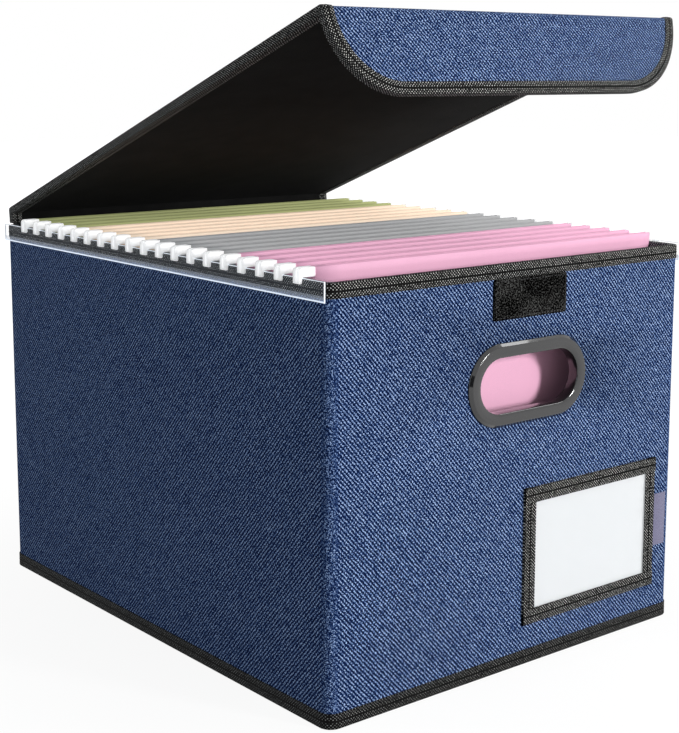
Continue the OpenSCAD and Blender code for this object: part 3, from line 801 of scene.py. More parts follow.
def paint_wear_and_light_on_corners(piece):
    """An attribute that is 1 in the middle of each upright corner and 0 where it ends. It marks where the
    linen is painted paler, as wear and as painted light.
    """
    wear_and_painted_light = piece.data.attributes.new("wear_and_painted_light", "FLOAT", "POINT")
    for vert, value in zip(piece.data.vertices, wear_and_painted_light.data):
        over_x = abs(vert.co.x) / MM - BOX_W / 2 + CORNER_R
        over_y = abs(vert.co.y) / MM - BOX_D / 2 + CORNER_R
        if min(over_x, over_y) > 0.01:
            value.value = min(1.0, 1.7 * math.sin(2 * math.atan2(over_y, over_x)))


paint_wear_and_light_on_corners(sleeve)
belongs(sleeve, "box", "linen_sleeve", slot="blue_linen")
belongs(inner_lining, "box", "lining", slot="black_lining")
girth = 2 * (BOX_W + BOX_D) - (8 - 2 * math.pi) * CORNER_R
wall_boards = [side + "_wall_board" for side in ("front", "back", "left", "right")]
cut_from(sleeve, girth, WALL_H - TAPE_T)
floor_w, floor_d, depth = BOX_W - 2 * WALL_T, BOX_D - 2 * WALL_T, WALL_H - FLOOR_TOP
cross = floor_w * floor_d + 2 * (floor_w + floor_d) * depth
cut_from(inner_lining, floor_w + 2 * depth, floor_d + 2 * depth, cross)
print("walls:", len(sleeve.data.polygons), "and", len(inner_lining.data.polygons), "faces")

# %% [markdown]
# A plain felted cloth covers the floor board from below. It shows only when the box is
# lifted, so it is a thin slab with round corners, in the finish of the lining.

# %% Cloth under the floor board
base_low, base_high = corners_mm("base_cloth")


def underside():
    bm = bmesh.new()
    size = base_high - base_low
    levels = [Matrix.Translation((0, 0, z)) for z in (base_low.z, base_high.z)]
    bridge_and_cap(bm, [round_loop(bm, size.x, size.y, 5, level) for level in levels])
    return make_piece("base_cloth_felt", bm, lining_cloth)


base_felt = belongs(underside(), "box", "base_cloth", slot="black_lining")
cut_from(base_felt, base_high.x - base_low.x, base_high.y - base_low.y)

# %% [markdown]
# Binding tape is a woven ribbon, 0.8 mm thick, folded over the raw edges of cloth and board
# and sewn through. Round the rim it is folded over both faces of the wall, and round the
# base it turns under by 8 mm. The section has soft edges and a low ridge along its middle.
# The stitches are small bars of thread set in rows near the tape's inner edge.

# %% Stitches
STITCH_PITCH, SEAM_STOP = 3.4, 9


def add_stitches(bm, points, long_mm, wide_mm=0.5, finish=1):
    """Small bars of thread: each point is (place, direction of the seam, outward normal)."""
    for spot, heading, outward in points:
        side = outward.cross(heading)
        turn_in = Matrix((heading, side, outward)).transposed().to_4x4()
        bar = bmesh.ops.create_icosphere(
            bm, subdivisions=1, radius=0.5,
            matrix=Matrix.Translation(spot) @ turn_in @ Matrix.Diagonal((long_mm, wide_mm, wide_mm * 0.8, 1)),
        )["verts"]
        for face in {f for v in bar for f in v.link_faces}:
            face.material_index = finish


def straight_seam(start, end, outward, pitch=STITCH_PITCH):
    """Stitch places along a straight line."""
    run = end - start
    count = max(1, int(run.length / pitch))
    heading = run.normalized()
    return [(start + run * (i + 0.5) / count, heading, outward) for i in range(count)]


def seam_round_box(inset, height, outward):
    """Four straight seams that stop short of the corners; outward is 1 outside and -1 inside."""
    x, y = BOX_W / 2 - inset, BOX_D / 2 - inset
    seams = []
    for side in (-1, 1):
        ends = [Vector((way * (x - SEAM_STOP), side * y, height)) for way in (-1, 1)]
        seams += straight_seam(*ends, Vector((0, side * outward, 0)))
    for side in (-1, 1):
        ends = [Vector((side * x, way * (y - SEAM_STOP), height)) for way in (-1, 1)]
        seams += straight_seam(*ends, Vector((side * outward, 0, 0)))
    return seams


# %% Rim and base binding
def tape_round_box(name, section, middle, seams, finish):
    """A closed section, as (inset, height) pairs, carried round the plan of the box."""
    bm = bmesh.new()
    bridge(bm, [plan_loop(bm, inset, z) for inset, z in section], True)

    def rule(point, normal):
        side_way, end_way = abs(point.x) - BOX_W / 2, abs(point.y) - BOX_D / 2
        if abs(normal.z) <= 0.7:
            return round_the_walls(point, normal)[0], point.z - middle
        facing = Vector((1, 0, 0)) if side_way > end_way else Vector((0, 1, 0))
        return round_the_walls(point, facing)[0], max(side_way, end_way) + 2

    flat_map(bm, rule)
    add_stitches(bm, seams, 2.3)
    return make_piece(name, bm, finish, thread)


RIM_FOOT = WALL_H - 8.5
rim_out = [
    (-0.45, 0.0), (-0.62, 0.3), (-0.62, 3.9), (-0.80, 4.3),
    (-0.62, 4.7), (-0.62, 8.4), (-0.35, 9.05), (0.4, 9.28),
]
rim_section = [(0.02, RIM_FOOT)] + [(inset, RIM_FOOT + rise) for inset, rise in rim_out]
rim_section += [(WALL_T - inset, RIM_FOOT + rise) for inset, rise in reversed(rim_out)]
rim_section += [(WALL_T - 0.02, RIM_FOOT), (WALL_T - 0.02, WALL_H - 0.1), (0.02, WALL_H - 0.1)]
rim_seams = seam_round_box(-0.62, RIM_FOOT + 1.3, 1) + seam_round_box(WALL_T + 0.62, RIM_FOOT + 1.3, -1)
rim_tape = tape_round_box("rim_tape", rim_section, RIM_FOOT + 4.3, rim_seams, tape)
belongs(rim_tape, "box", "rim_binding", slot="black_tape")

base_section = [
    (0.02, 10.0), (-0.45, 10.0), (-0.68, 9.7), (-0.68, 5.6), (-0.80, 5.2), (-0.68, 4.8),
    (-0.80, 0.9), (-0.55, 0.25), (0.1, 0.0), (7.7, 0.0), (8.0, 0.35), (7.9, 0.78), (0.02, 0.78),
]
base_seams = seam_round_box(-0.68, 8.6, 1)
base_binding = tape_round_box("base_tape", base_section, 5.2, base_seams, base_tape)
belongs(base_binding, "box", "base_binding", slot="black_tape")
print("stitches at rim and base:", len(rim_seams) + len(base_seams))

# %% [markdown]
# The handle is a moulded ring in two halves that clamp the wall: a ring with a sloping rim
# and a collar outside, and a plain backing ring inside. Each is a closed run of slot-shaped
# loops, given here as (distance outside the opening, height above the wall).

# %% Handle rings
def slot_ring(name, node, side, section):
    """A closed section carried round a hand hole; side is -1 in front and 1 at the back."""
    bm = bmesh.new()
    middle = centre_mm(node)
    loops = []
    for grow, rise in section:
        at = Matrix.Translation((middle.x, side * (BOX_D / 2 + rise), middle.z))
        loops.append(slot_loop(bm, HAND_W + 2 * grow, HAND_H + 2 * grow, at @ UPRIGHT, arc=16))
    bridge(bm, loops, True)
    return soften(make_piece(name, bm, gunmetal, sharp=25), 0.3, 3, 25)


face_section = [
    (9.3, 0.0), (9.3, 0.8), (7.2, 2.6), (5.0, 2.6), (1.2, 2.6), (0.35, 2.3), (0, 1.5),
    (0, -4.0), (0, -WALL_T - 1.4), (1.3, -WALL_T - 1.4), (1.3, -2.0), (1.3, 0.0),
]
back_section = [
    (1.35, -WALL_T), (8.3, -WALL_T), (8.3, -WALL_T - 1.2), (7.8, -WALL_T - 1.6), (1.35, -WALL_T - 1.6),
]
for end, side in (("front", -1), ("back", 1)):
    ring = slot_ring(end + "_handle_face", end + "_handle_ring", side, face_section)
    belongs(ring, "box", end + "_handle_ring", slot="gunmetal_plastic")
    backing = slot_ring(end + "_handle_inner", end + "_handle_ring", side, back_section)
    belongs(backing, "box", end + "_handle_backing", slot="gunmetal_plastic")
    print(end, "handle at", [round(c, 1) for c in centre_mm(end + "_handle_ring")])

# %% [markdown]
# The closing patch on the front wall is a rectangle of loop pile, sewn round its edge. The
# pile stands up as small tufts, so the top face is cut into a fine grid and moved by noise.

# %% Loop patch
TUFT_GRID = 1.1


def pile_patch(name, wide, tall, thick, where, finish, tuft):
    """A sewn pad of pile: where turns its flat back side to the piece that carries it."""
    bm = bmesh.new()
    outline = ((0, 0), (0, thick * 0.45), (0.5, thick * 0.8))
    bridge_and_cap(bm, [
        round_loop(bm, wide - 2 * inset, tall - 2 * inset, 1.5, Matrix.Translation((0, 0, rise)), 4)
        for inset, rise in outline
    ])
    top_z = thick * 0.79
    for axis, half in ((0, wide / 2), (1, tall / 2)):
        normal = Vector((0, 0, 0))
        normal[axis] = 1
        steps = int(half / TUFT_GRID)
        for step in range(-steps, steps + 1):
            top = [f for f in bm.faces if f.calc_center_median().z > top_z]
            bmesh.ops.bisect_plane(bm, geom=whole(top), plane_co=normal * step * TUFT_GRID, plane_no=normal)
    flat_map(bm, by_facing)
    for vert in bm.verts:
        inside = wide / 2 - abs(vert.co.x) > 1.0 and tall / 2 - abs(vert.co.y) > 1.0
        if vert.co.z > top_z and inside:
            vert.co.z += thick * 0.1 + tuft * (noise.noise(vert.co * 0.9) * 0.6 + noise.noise(vert.co * 2.3))
    edge_x, edge_y, height = wide / 2 - 1.6, tall / 2 - 1.6, thick * 0.9
    corners = [Vector((x * edge_x, y * edge_y, height)) for x, y in ((-1, -1), (1, -1), (1, 1), (-1, 1))]
    for start, end in zip(corners, corners[1:] + corners[:1]):
        add_stitches(bm, straight_seam(start, end, Vector((0, 0, 1)), 2.8), 2.0, 0.45)
    bmesh.ops.transform(bm, matrix=where, verts=bm.verts)
    return make_piece(name, bm, finish, thread)


patch_low, patch_high = corners_mm("loop_patch")
patch_size, patch_middle = patch_high - patch_low, centre_mm("loop_patch")
patch_at = Matrix.Translation((patch_middle.x, -BOX_D / 2, patch_middle.z)) @ UPRIGHT
patch = pile_patch("loop_pile_patch", patch_size.x, patch_size.z, patch_size.y, patch_at, loop_pile, 0.22)
belongs(patch, "box", "loop_patch", slot="loop_pile")
print("patch faces:", len(patch.data.polygons))

# %% [markdown]
# The label pocket is four lengths of tape sewn round a clear film. The side and lower tapes
# are sewn down through everything, and the upper tape hems the film alone, so that the card
# slides in behind it. Each length is a section of the tape, drawn as a few points across its
# width, and pushed out along its length. The horizontal lengths lie over the upright ones.

# %% Label pocket
LABEL_X, LABEL_Z, LABEL_W, LABEL_H, LABEL_TAPE = 5, 27.5, 130.5, 93.5, 10.4
to_right, upwards, forwards = Vector((1, 0, 0)), Vector((0, 0, 1)), Vector((0, -1, 0))


def push_out(bm, section, run):
    """A closed section of points, filled and extruded along a vector."""
    face = bm.faces.new([bm.verts.new(point) for point in section])
    grown = bmesh.ops.extrude_face_region(bm, geom=[face])["geom"]
    bmesh.ops.translate(bm, vec=run, verts=verts_of(grown))


def pocket_tape(name, corner, across, along, length, lift, sewn_down):
    """Tape on the front wall: across is the direction from its outer edge to the window. One
    that is sewn down has a groove for the film on its inner side."""
    middle, top = LABEL_TAPE / 2, 2.0 + lift
    section = [(0, 0.02)] if sewn_down else []
    section += [(0, top - 0.5), (0.35, top - 0.1)]
    section += [(middle - 0.5, top - 0.1), (middle, top + 0.12), (middle + 0.5, top - 0.1)]
    section += [(LABEL_TAPE - 0.3, top - 0.1), (LABEL_TAPE, top - 0.4), (LABEL_TAPE, 0.85)]
    section += [(6.2, 0.85), (6.2, 0.02)] if sewn_down else [(0, 0.85)]
    bm = bmesh.new()
    push_out(bm, [corner + across * a + forwards * d for a, d in section], along * length)
    flat_map(bm, lambda point, normal: ((point - corner).dot(along), (point - corner).dot(across) - middle))
    for offset in (1.3, 9.0):
        start = corner + across * offset + forwards * (top - 0.08) + along * 1.5
        add_stitches(bm, straight_seam(start, start + along * (length - 3), forwards, 3.0), 2.1, 0.42)
    return make_piece(name, bm, tape, thread)


pocket_corner = Vector((LABEL_X, -BOX_D / 2, LABEL_Z))
far_side, far_top = pocket_corner + to_right * LABEL_W, pocket_corner + upwards * LABEL_H
pocket = {
    "label_binding_left": (pocket_corner, to_right, upwards, LABEL_H, 0.0, True),
    "label_binding_right": (far_side, -to_right, upwards, LABEL_H, 0.0, True),
    "label_binding_bottom": (pocket_corner, upwards, to_right, LABEL_W, 0.22, True),
    "label_binding_top": (far_top, -upwards, to_right, LABEL_W, 0.22, False),
}
for node, settings in pocket.items():
    belongs(pocket_tape(node + "_tape", *settings), "box", node, slot="black_tape")
print("pocket tapes:", len(pocket))

# %% [markdown]
# Beside the pocket sits a small plain tab of satin ribbon. It is a grid that is bent a
# little off the wall, and given the thickness of two layers of ribbon.

# %% Satin tab
def satin_tab():
    bm = bmesh.new()
    low, high = corners_mm("side_tab")
    size = high - low
    at = Matrix.Translation(((low.x + high.x) / 2, 0, (low.z + high.z) / 2)) @ UPRIGHT
    bmesh.ops.create_grid(
        bm, x_segments=14, y_segments=12, size=0.5, matrix=at @ Matrix.Diagonal((size.x, size.z, 1, 1))
    )
    flat_map(bm, by_facing)
    for vert in bm.verts:
        across = (vert.co.x - low.x) / size.x
        bow, ripple = 0.4 * math.sin(math.pi * across), 0.1 * math.sin(vert.co.z * 0.35) * across
        vert.co.y = -BOX_D / 2 - 0.12 - bow - ripple
    bmesh.ops.solidify(bm, geom=bm.faces[:], thickness=0.3)
    return soften(make_piece("satin_tab", bm, satin, sharp=50), 0.1)


tab = belongs(satin_tab(), "box", "side_tab", slot="satin_tab")
print("tab faces:", len(tab.data.polygons))

# %% [markdown]
# Each side wall carries a clear rail of bent plastic sheet, with a long leg outside and a
# shorter one inside. The section is two faces side by side: the upper bend with the long
# leg, and the short leg. Both are pushed out together, and then the first goes on by itself
# at each end, because the short leg stops short of the end walls.

# %% Clear rails
RAIL_T, SHORT_LEG = 1, 9


def clear_rail(side):
    """A rail of bent sheet; side is -1 for the left wall and 1 for the right one."""
    low, high = corners_mm("right_rail")
    bm = bmesh.new()
    inner_l, rail_l = BOX_D - 2 * WALL_T - 4 * TAPE_T, high.y - low.y
    x0, x1, z1 = low.x, high.x, high.z
    outline = {
        "a": (x0, z1), "b": (x1 - 0.5, z1), "c": (x1, z1 - 0.5), "d": (x1, low.z), "e": (x1 - RAIL_T, low.z),
        "f": (x1 - RAIL_T, z1 - RAIL_T), "g": (x0 + RAIL_T, z1 - RAIL_T), "h": (x0, z1 - RAIL_T),
        "i": (x0 + RAIL_T, z1 - SHORT_LEG), "j": (x0, z1 - SHORT_LEG),
    }
    corner = {key: bm.verts.new((x * side, -inner_l / 2, z)) for key, (x, z) in outline.items()}
    bend = bm.faces.new([corner[k] for k in "abcdefgh"])
    leg = bm.faces.new([corner[k] for k in "hgij"])
    grown = bmesh.ops.extrude_face_region(bm, geom=[bend, leg], use_keep_orig=False)["geom"]
    bmesh.ops.translate(bm, vec=(0, inner_l, 0), verts=verts_of(grown))
    bmesh.ops.recalc_face_normals(bm, faces=bm.faces)
    for end in (-1, 1):
        face = max(
            (f for f in bm.faces if abs(f.normal.y) > 0.9 and f.calc_center_median().y * end > 0),
            key=lambda f: f.calc_area(),
        )
        grown = bmesh.ops.extrude_face_region(bm, geom=[face])["geom"]
        bmesh.ops.translate(bm, vec=(0, end * (rail_l - inner_l) / 2, 0), verts=verts_of(grown))
        if face.is_valid:
            bmesh.ops.delete(bm, geom=[face], context="FACES_ONLY")
    bmesh.ops.recalc_face_normals(bm, faces=bm.faces)
    ends = [f for f in bm.faces if abs(f.normal.y) > 0.9]
    leg_edge = Vector(((x1 - RAIL_T) * side, 0, 0))
    bmesh.ops.bisect_plane(bm, geom=whole(ends), plane_co=leg_edge, plane_no=(1, 0, 0))
    for face in bm.faces:
        middle = face.calc_center_median()
        outer_end = abs(face.normal.y) > 0.9 and abs(middle.x) > x1 - RAIL_T
        top_edge = face.normal.z > 0.5 and abs(face.normal.x) > 0.5
        sawn_foot = face.normal.z < -0.9 and middle.z < z1 - SHORT_LEG + 1
        if outer_end or top_edge or sawn_foot:
            face.material_index = 1
    name = "left_rail" if side < 0 else "right_rail"
    rail = soften(make_piece(name + "_clear", bm, rail_clear, rail_edge_painted_glow), 0.12, 2)
    return belongs(rail, "box", name, slot="clear_rail")


for side in (-1, 1):
    print(clear_rail(side).name)

# %% [markdown]
# A hanging folder is one sheet of card folded at the bottom. Each upper edge is turned over
# a steel rod and glued down, which leaves a hem. The sheet is drawn as a line of points from
# hem to hem, pushed sideways in steps, and then bowed and waved a little, each folder in its
# own way, because no card hangs quite flat. A Solidify modifier gives it its thickness.

# %% Folder sheets
FOLDER_W, FOLDER_H, HOOK_TOP, HEM_H, CARD_T = 299, 238, 277.8, 13, 0.45
folder_kinds = {tint + "_folder" for tint in FOLDER_TINTS}
FOLDERS = sorted(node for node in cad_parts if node.rsplit("_", 1)[0] in folder_kinds)


def hem_to_hem():
    """Points across one folder, as (distance from its middle, height)."""
    low = HOOK_TOP - FOLDER_H
    half = [(0, low + 0.25), (0.75, low + 0.5), (1.05, low + 1.4)]
    half += [(1.05, low + rise) for rise in (25, 60, 100, 140, 180, 210, FOLDER_H - 14, FOLDER_H - 6)]
    half += [(1.05, HOOK_TOP - 0.7), (1.4, HOOK_TOP - 0.25), (2.05, HOOK_TOP - 0.25), (2.45, HOOK_TOP - 0.7)]
    half += [(2.45, HOOK_TOP - 4.9), (2.15, HOOK_TOP - 7.5), (1.75, HOOK_TOP - 10), (1.6, HOOK_TOP - 12.5)]
    return [(-y, z) for y, z in reversed(half[1:])] + half


def folder_sheet(node, middle, seed):
    """One folded card about the plane y = middle; the seed gives it its own waves."""
    bm = bmesh.new()
    line = [bm.verts.new((-FOLDER_W / 2, y, z)) for y, z in hem_to_hem()]
    edges = [bm.edges.new(pair) for pair in zip(line, line[1:])]
    steps = 14
    for _ in range(steps):
        grown = bmesh.ops.extrude_edge_only(bm, edges=edges)["geom"]
        bmesh.ops.translate(bm, vec=(FOLDER_W / steps, 0, 0), verts=verts_of(grown))
        edges = [g for g in grown if isinstance(g, bmesh.types.BMEdge)]
    for vert in bm.verts:
        share = max(0.0, min(1.0, (HOOK_TOP - HEM_H - vert.co.z) / (FOLDER_H - HEM_H)))
        wave = noise.noise(Vector((vert.co.x / 130, vert.co.z / 150, seed * 7.3)))
        if abs(vert.co.y) > 0.1:
            vert.co.y += math.sin(math.pi * share) * (math.copysign(0.9, vert.co.y) + 2.2 * wave)
    bmesh.ops.translate(bm, vec=(0, middle, 0), verts=bm.verts)
    sheet = make_piece(node + "_sheet", bm, folder_cards[node.split("_")[0]], sharp=50)
    thick = sheet.modifiers.new("card", "SOLIDIFY")
    thick.thickness = CARD_T * MM
    thick.offset = 0
    return sheet


print("a folder's outline has", len(hem_to_hem()), "points")

# %% [markdown]
# What carries a folder is in its hems: a flat steel rod in each, with a white plastic hook
# on either end. The rods are bars with soft edges. A hook is an outline of its arm and its
# short leg, pushed out by its width, and each hangs over the rail on its own side.

# %% Folder rods and hooks
ROD_Y, HOOK_REACH, HOOK_WIDE, HOOK_ARM = 1.75, 161.6, 2.8, 2.2


def folder_rods(node, middle):
    """Two flat steel bars inside the hems."""
    bm = bmesh.new()
    for side in (-1, 1):
        at = Matrix.Translation((0, middle + side * ROD_Y, HOOK_TOP - 2.7))
        bmesh.ops.create_cube(bm, size=1, matrix=at @ Matrix.Diagonal((FOLDER_W + 5.6, 0.8, 4.2, 1)))
    return soften(make_piece(node + "_rods", bm, steel), 0.25)


def folder_hooks(node, middle):
    """Four white hooks: an arm over the rail and a short leg down outside it."""
    bm = bmesh.new()
    inner, under, bend_x = FOLDER_W / 2 + 0.05, HOOK_TOP - 5.7, HOOK_REACH - HOOK_ARM
    bend = [
        (bend_x + HOOK_ARM * math.sin(angle), HOOK_TOP - HOOK_ARM + HOOK_ARM * math.cos(angle))
        for angle in (0, 0.4, 0.8, 1.2, 1.57)
    ]
    section = [(inner, under), (inner, HOOK_TOP)] + bend
    section += [(HOOK_REACH, under - 3.4), (HOOK_REACH - 0.4, under - 3.8), (HOOK_REACH - 1.8, under - 3.8)]
    section += [(bend_x, under - 3.4), (bend_x, under)]
    for side in (-1, 1):
        for rod in (-1, 1):
            start = middle + rod * ROD_Y - HOOK_WIDE / 2
            push_out(bm, [(side * x, start, z) for x, z in section], Vector((0, HOOK_WIDE, 0)))
    return soften(make_piece(node + "_hooks", bm, white_plastic_painted_glow, sharp=30), 0.35, 2)


for number, node in enumerate(FOLDERS):
    middle = centre_mm(node).y
    sheet = folder_sheet(node, middle, number)
    belongs(sheet, node, node, slot=node.split("_")[0] + "_card")
    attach(folder_rods(node, middle), node)
    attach(folder_hooks(node, middle), node)
print("folders:", len(FOLDERS))

# %% [markdown]
# Hinge, lid and flap are one length of cloth on the real box: linen outside, black cloth
# inside, boards between, and tape folded over the free edges. It is drawn flat, as on the
# sewing table, with x across and y along, and then every point is carried onto the path
# that runs up from the back wall, round the lid's fold, along the lid and round the flap's
# fold. The map is written while the cloth is flat, so the weave is never cut at a fold.

# %% The path from the back wall to the flap's free edge
LID_OPEN, FLAP_TURN, HINGE_LEAN = math.radians(20.3), math.radians(96), math.radians(5.7)
FOLD_R, LID_HALF = 3.0, 2.2
LID_W, LID_L, FLAP_L, FLAP_R, LID_TAPE = 306, 414, 50, 54, 8
wall_fold, LID_FOLD_Z = Vector((0, 199.8, 275.1)), 281.3
HINGE_RISE = (LID_FOLD_Z - wall_fold.z) / math.cos(HINGE_LEAN)


def heading(angle):
    """The direction along the cloth: 0 is straight up, and it turns towards the front."""
    return Vector((0, -math.sin(angle), math.cos(angle)))


strip_turn = -HINGE_LEAN
lid_turn = math.pi / 2 - LID_OPEN
flap_turn = lid_turn + FLAP_TURN
lid_fold = wall_fold + heading(strip_turn) * HINGE_RISE
flap_fold = lid_fold + heading(lid_turn) * LID_L
lid_starts = HINGE_RISE + FOLD_R * (lid_turn - strip_turn)
flap_bends = lid_starts + LID_L
flap_starts = flap_bends + FOLD_R * FLAP_TURN
FREE_EDGE = flap_starts + FLAP_L
LID_MIDDLE = lid_starts + LID_L / 2

# The three lengths that the cloth is made in: where each starts and ends. Each has one fold.
PARTS = {"hinge": (-3.2, 3.1), "back": (3.1, LID_MIDDLE), "front": (LID_MIDDLE, FREE_EDGE)}


def off_axis(axis, angle, run, out):
    """A point run along a heading from a fold, and out from the panel's middle plane."""
    return axis + heading(angle) * run + heading(angle - math.pi / 2) * out


def on_path(point):
    """Carries a point of the flat cloth onto the folded path."""
    v, out = point.y, point.z
    inside = max(0.0, -out)
    if v < 0:
        spot = off_axis(wall_fold, 0, v, out)
    elif v < flap_bends:
        crease = inside * math.tan((lid_turn - strip_turn) / 2)
        if v <= HINGE_RISE:
            spot = off_axis(lid_fold, strip_turn, min(v - HINGE_RISE, -crease), out)
        elif v < lid_starts:
            part = (v - HINGE_RISE) / FOLD_R if out > 0 else 0
            spot = off_axis(lid_fold, strip_turn + part, -crease, out)
        else:
            run = min(max(v - lid_starts, crease), LID_L - inside * math.tan(FLAP_TURN / 2))
            spot = off_axis(lid_fold, lid_turn, run, out)
    else:
        crease = inside * math.tan(FLAP_TURN / 2)
        if v < flap_starts:
            part = (v - flap_bends) / FOLD_R if out > 0 else 0
            spot = off_axis(flap_fold, lid_turn + part, -crease, out)
        else:
            spot = off_axis(flap_fold, flap_turn, max(v - flap_starts, crease), out)
    spot.x = point.x
    return spot


print("lid fold", [round(c, 2) for c in lid_fold], "flap fold", [round(c, 2) for c in flap_fold])

# %% [markdown]
# Flat cloth can bend only where it has an edge, so it is cut into rows: close together at
# each fold and far apart on the boards. Then it gets its thickness, and every point moves.

# %% Cutting lines, so that the cloth can follow its folds
LID_ROWS, FOLD_ROWS = 24, 8


def everything(bm):
    return bm.verts[:] + bm.edges[:] + bm.faces[:]


def rows_between(start, end):
    """Where the flat cloth is cut across: closely at each fold, widely between."""
    rows = [lid_starts + LID_L * i / LID_ROWS for i in range(1, LID_ROWS)] + [-2.0, 0.0, 1.5, 3.1, 4.6]
    for bend, finish in ((HINGE_RISE, lid_starts), (flap_bends, flap_starts)):
        rows += [bend + (finish - bend) * i / FOLD_ROWS for i in range(FOLD_ROWS + 1)]
        rows += [bend - 1.5, bend - 3.4, finish + 1.5, finish + 3.4]
    rows += [flap_starts + i * 6 for i in range(2, 9)] + [flap_starts + i for i in range(2, 11)]
    return sorted(r for r in rows if start + 0.2 < r < end - 0.2)


def cut_rows(bm, start, end, columns=()):
    """Cuts the flat faces along rows, and along upright lines where some are given."""
    cuts = [(Vector((0, row, 0)), Vector((0, 1, 0))) for row in rows_between(start, end)]
    cuts += [(Vector((column, 0, 0)), Vector((1, 0, 0))) for column in columns]
    for point, normal in cuts:
        bmesh.ops.bisect_plane(bm, geom=everything(bm), plane_co=point, plane_no=normal)


def thicken(bm, low, high):
    """Turns the flat cloth into a slab between two distances from the middle plane."""
    bmesh.ops.solidify(bm, geom=bm.faces[:], thickness=high - low)
    floor_z = min(v.co.z for v in bm.verts)
    bmesh.ops.translate(bm, vec=(0, 0, low - floor_z), verts=bm.verts)


def fold_up(bm):
    """Carries every point onto the path, and closes the faces that a crease shuts."""
    for vert in bm.verts:
        vert.co = on_path(vert.co)
    bmesh.ops.remove_doubles(bm, verts=bm.verts, dist=0.004)
    bmesh.ops.dissolve_degenerate(bm, edges=bm.edges, dist=0.001)


def bend_between(piece, part):
    """Bakes the piece's transform; the two ends of its joint are worked out but not used."""
    if part == "hinge":
        ends = [wall_fold + Vector((0, FOLD_R, -2.6)), off_axis(wall_fold, strip_turn, 2.9, FOLD_R)]
    elif part == "back":
        ends = [off_axis(lid_fold, angle, 0, FOLD_R) for angle in (strip_turn, lid_turn)]
    else:
        ends = [off_axis(flap_fold, angle, 0, FOLD_R) for angle in (lid_turn, flap_turn)]
    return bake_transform(piece)


print("rows cut:", {part: len(rows_between(*ends)) for part, ends in PARTS.items()})

# %% [markdown]
# Linen and lining are sheets of the same outline, one on each side of the middle plane. The
# free corners of the flap are rounded with the same corner rounding as everything else. The
# real sheets go on round the folds, and the parts meet between two folds, where nothing moves.

# %% Linen and lining of the lid
def flat_part(bm, wide, start, end, radius, part):
    """The flat outline of a part of the cloth; the flap's two free corners are round."""
    at = Matrix.Translation((0, (start + end) / 2, 0))
    round_face(bm, wide, end - start, radius, at, 20, lambda corner: part == "front" and corner.y > end - 1)


def lid_sheet(name, part, low, high, finish, crown=0.0):
    """Cloth between two distances from the middle plane. A crown lifts the middle of the flap,
    and then a shallow dent follows the edge of its board."""
    start, end = PARTS[part]
    half = LID_W / 2 - TAPE_T
    last = end - TAPE_T if part == "front" else end
    dent_deep, dent_at, dent_wide = 0.7, flap_starts + 6, 1.6
    bm = bmesh.new()
    flat_part(bm, 2 * half, start, last, FLAP_R - TAPE_T, part)
    cut_rows(bm, start, last, range(-140, 141, 20))
    thicken(bm, low, high)
    flat_map(bm, lambda point, normal: (point.x * 1.04, -point.y * 1.09))
    for vert in bm.verts:
        if crown and vert.co.z > 0 and vert.co.y > flap_starts:
            inset = min(half - abs(vert.co.x), last - vert.co.y) - LID_TAPE
            vert.co.z += crown * min(1.0, max(0.0, inset / 9))
            vert.co.z -= dent_deep * math.exp(-(((vert.co.y - dent_at) / dent_wide) ** 2))
    fold_up(bm)
    return bend_between(make_piece(name, bm, finish, sharp=60), part)


# How the names of the CAD nodes begin for each part of the cloth
NODE_START = {"hinge": "hinge", "back": "lid", "front": "flap"}
outers, inners = {}, {}
for part, begins in NODE_START.items():
    outer = lid_sheet("lid_linen_" + part, part, LID_HALF - LINEN_T, LID_HALF, linen, 0.35)
    outers[part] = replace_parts(outer, begins + "_linen")
    inner = lid_sheet("lid_lining_" + part, part, -LID_HALF, LINING_T - LID_HALF, lining_cloth)
    inners[part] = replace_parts(inner, begins + "_lining")
    print(part, "sheets:", len(outer.data.polygons), len(inner.data.polygons))
for made in (outers, inners):
    for part, board in (("back", "lid_board"), ("front", "flap_board")):
        start, end = PARTS[part]
        cut_from(made[part], LID_W - 2 * TAPE_T, end - start)

# %% [markdown]
# The tape goes over both side edges and round the flap's free edge. It starts as the whole
# flat outline. An inset of the tape's width leaves a border, the middle is taken away, and
# the border gets its thickness and soft edges. It is then folded with the cloth, and so are
# its stitches.

# %% Binding of lid and flap
def edge_distance(x, y):
    """How far a flat point lies inside the bound edge, and its place along that edge."""
    half, corner_y, quarter = LID_W / 2, FREE_EDGE - FLAP_R, FLAP_R * math.pi / 2
    from_middle = abs(x) - (half - FLAP_R)
    if y > corner_y and from_middle > 0:
        away = Vector((from_middle, y - corner_y))
        inset, turned = FLAP_R - away.length, FLAP_R * math.atan2(away.y, away.x)
    elif FREE_EDGE - y < half - abs(x):
        inset, turned = FREE_EDGE - y, quarter - from_middle
    else:
        inset, turned = half - abs(x), y - corner_y
    across = half - FLAP_R + quarter
    return inset, turned if x > 0 else 2 * across - turned


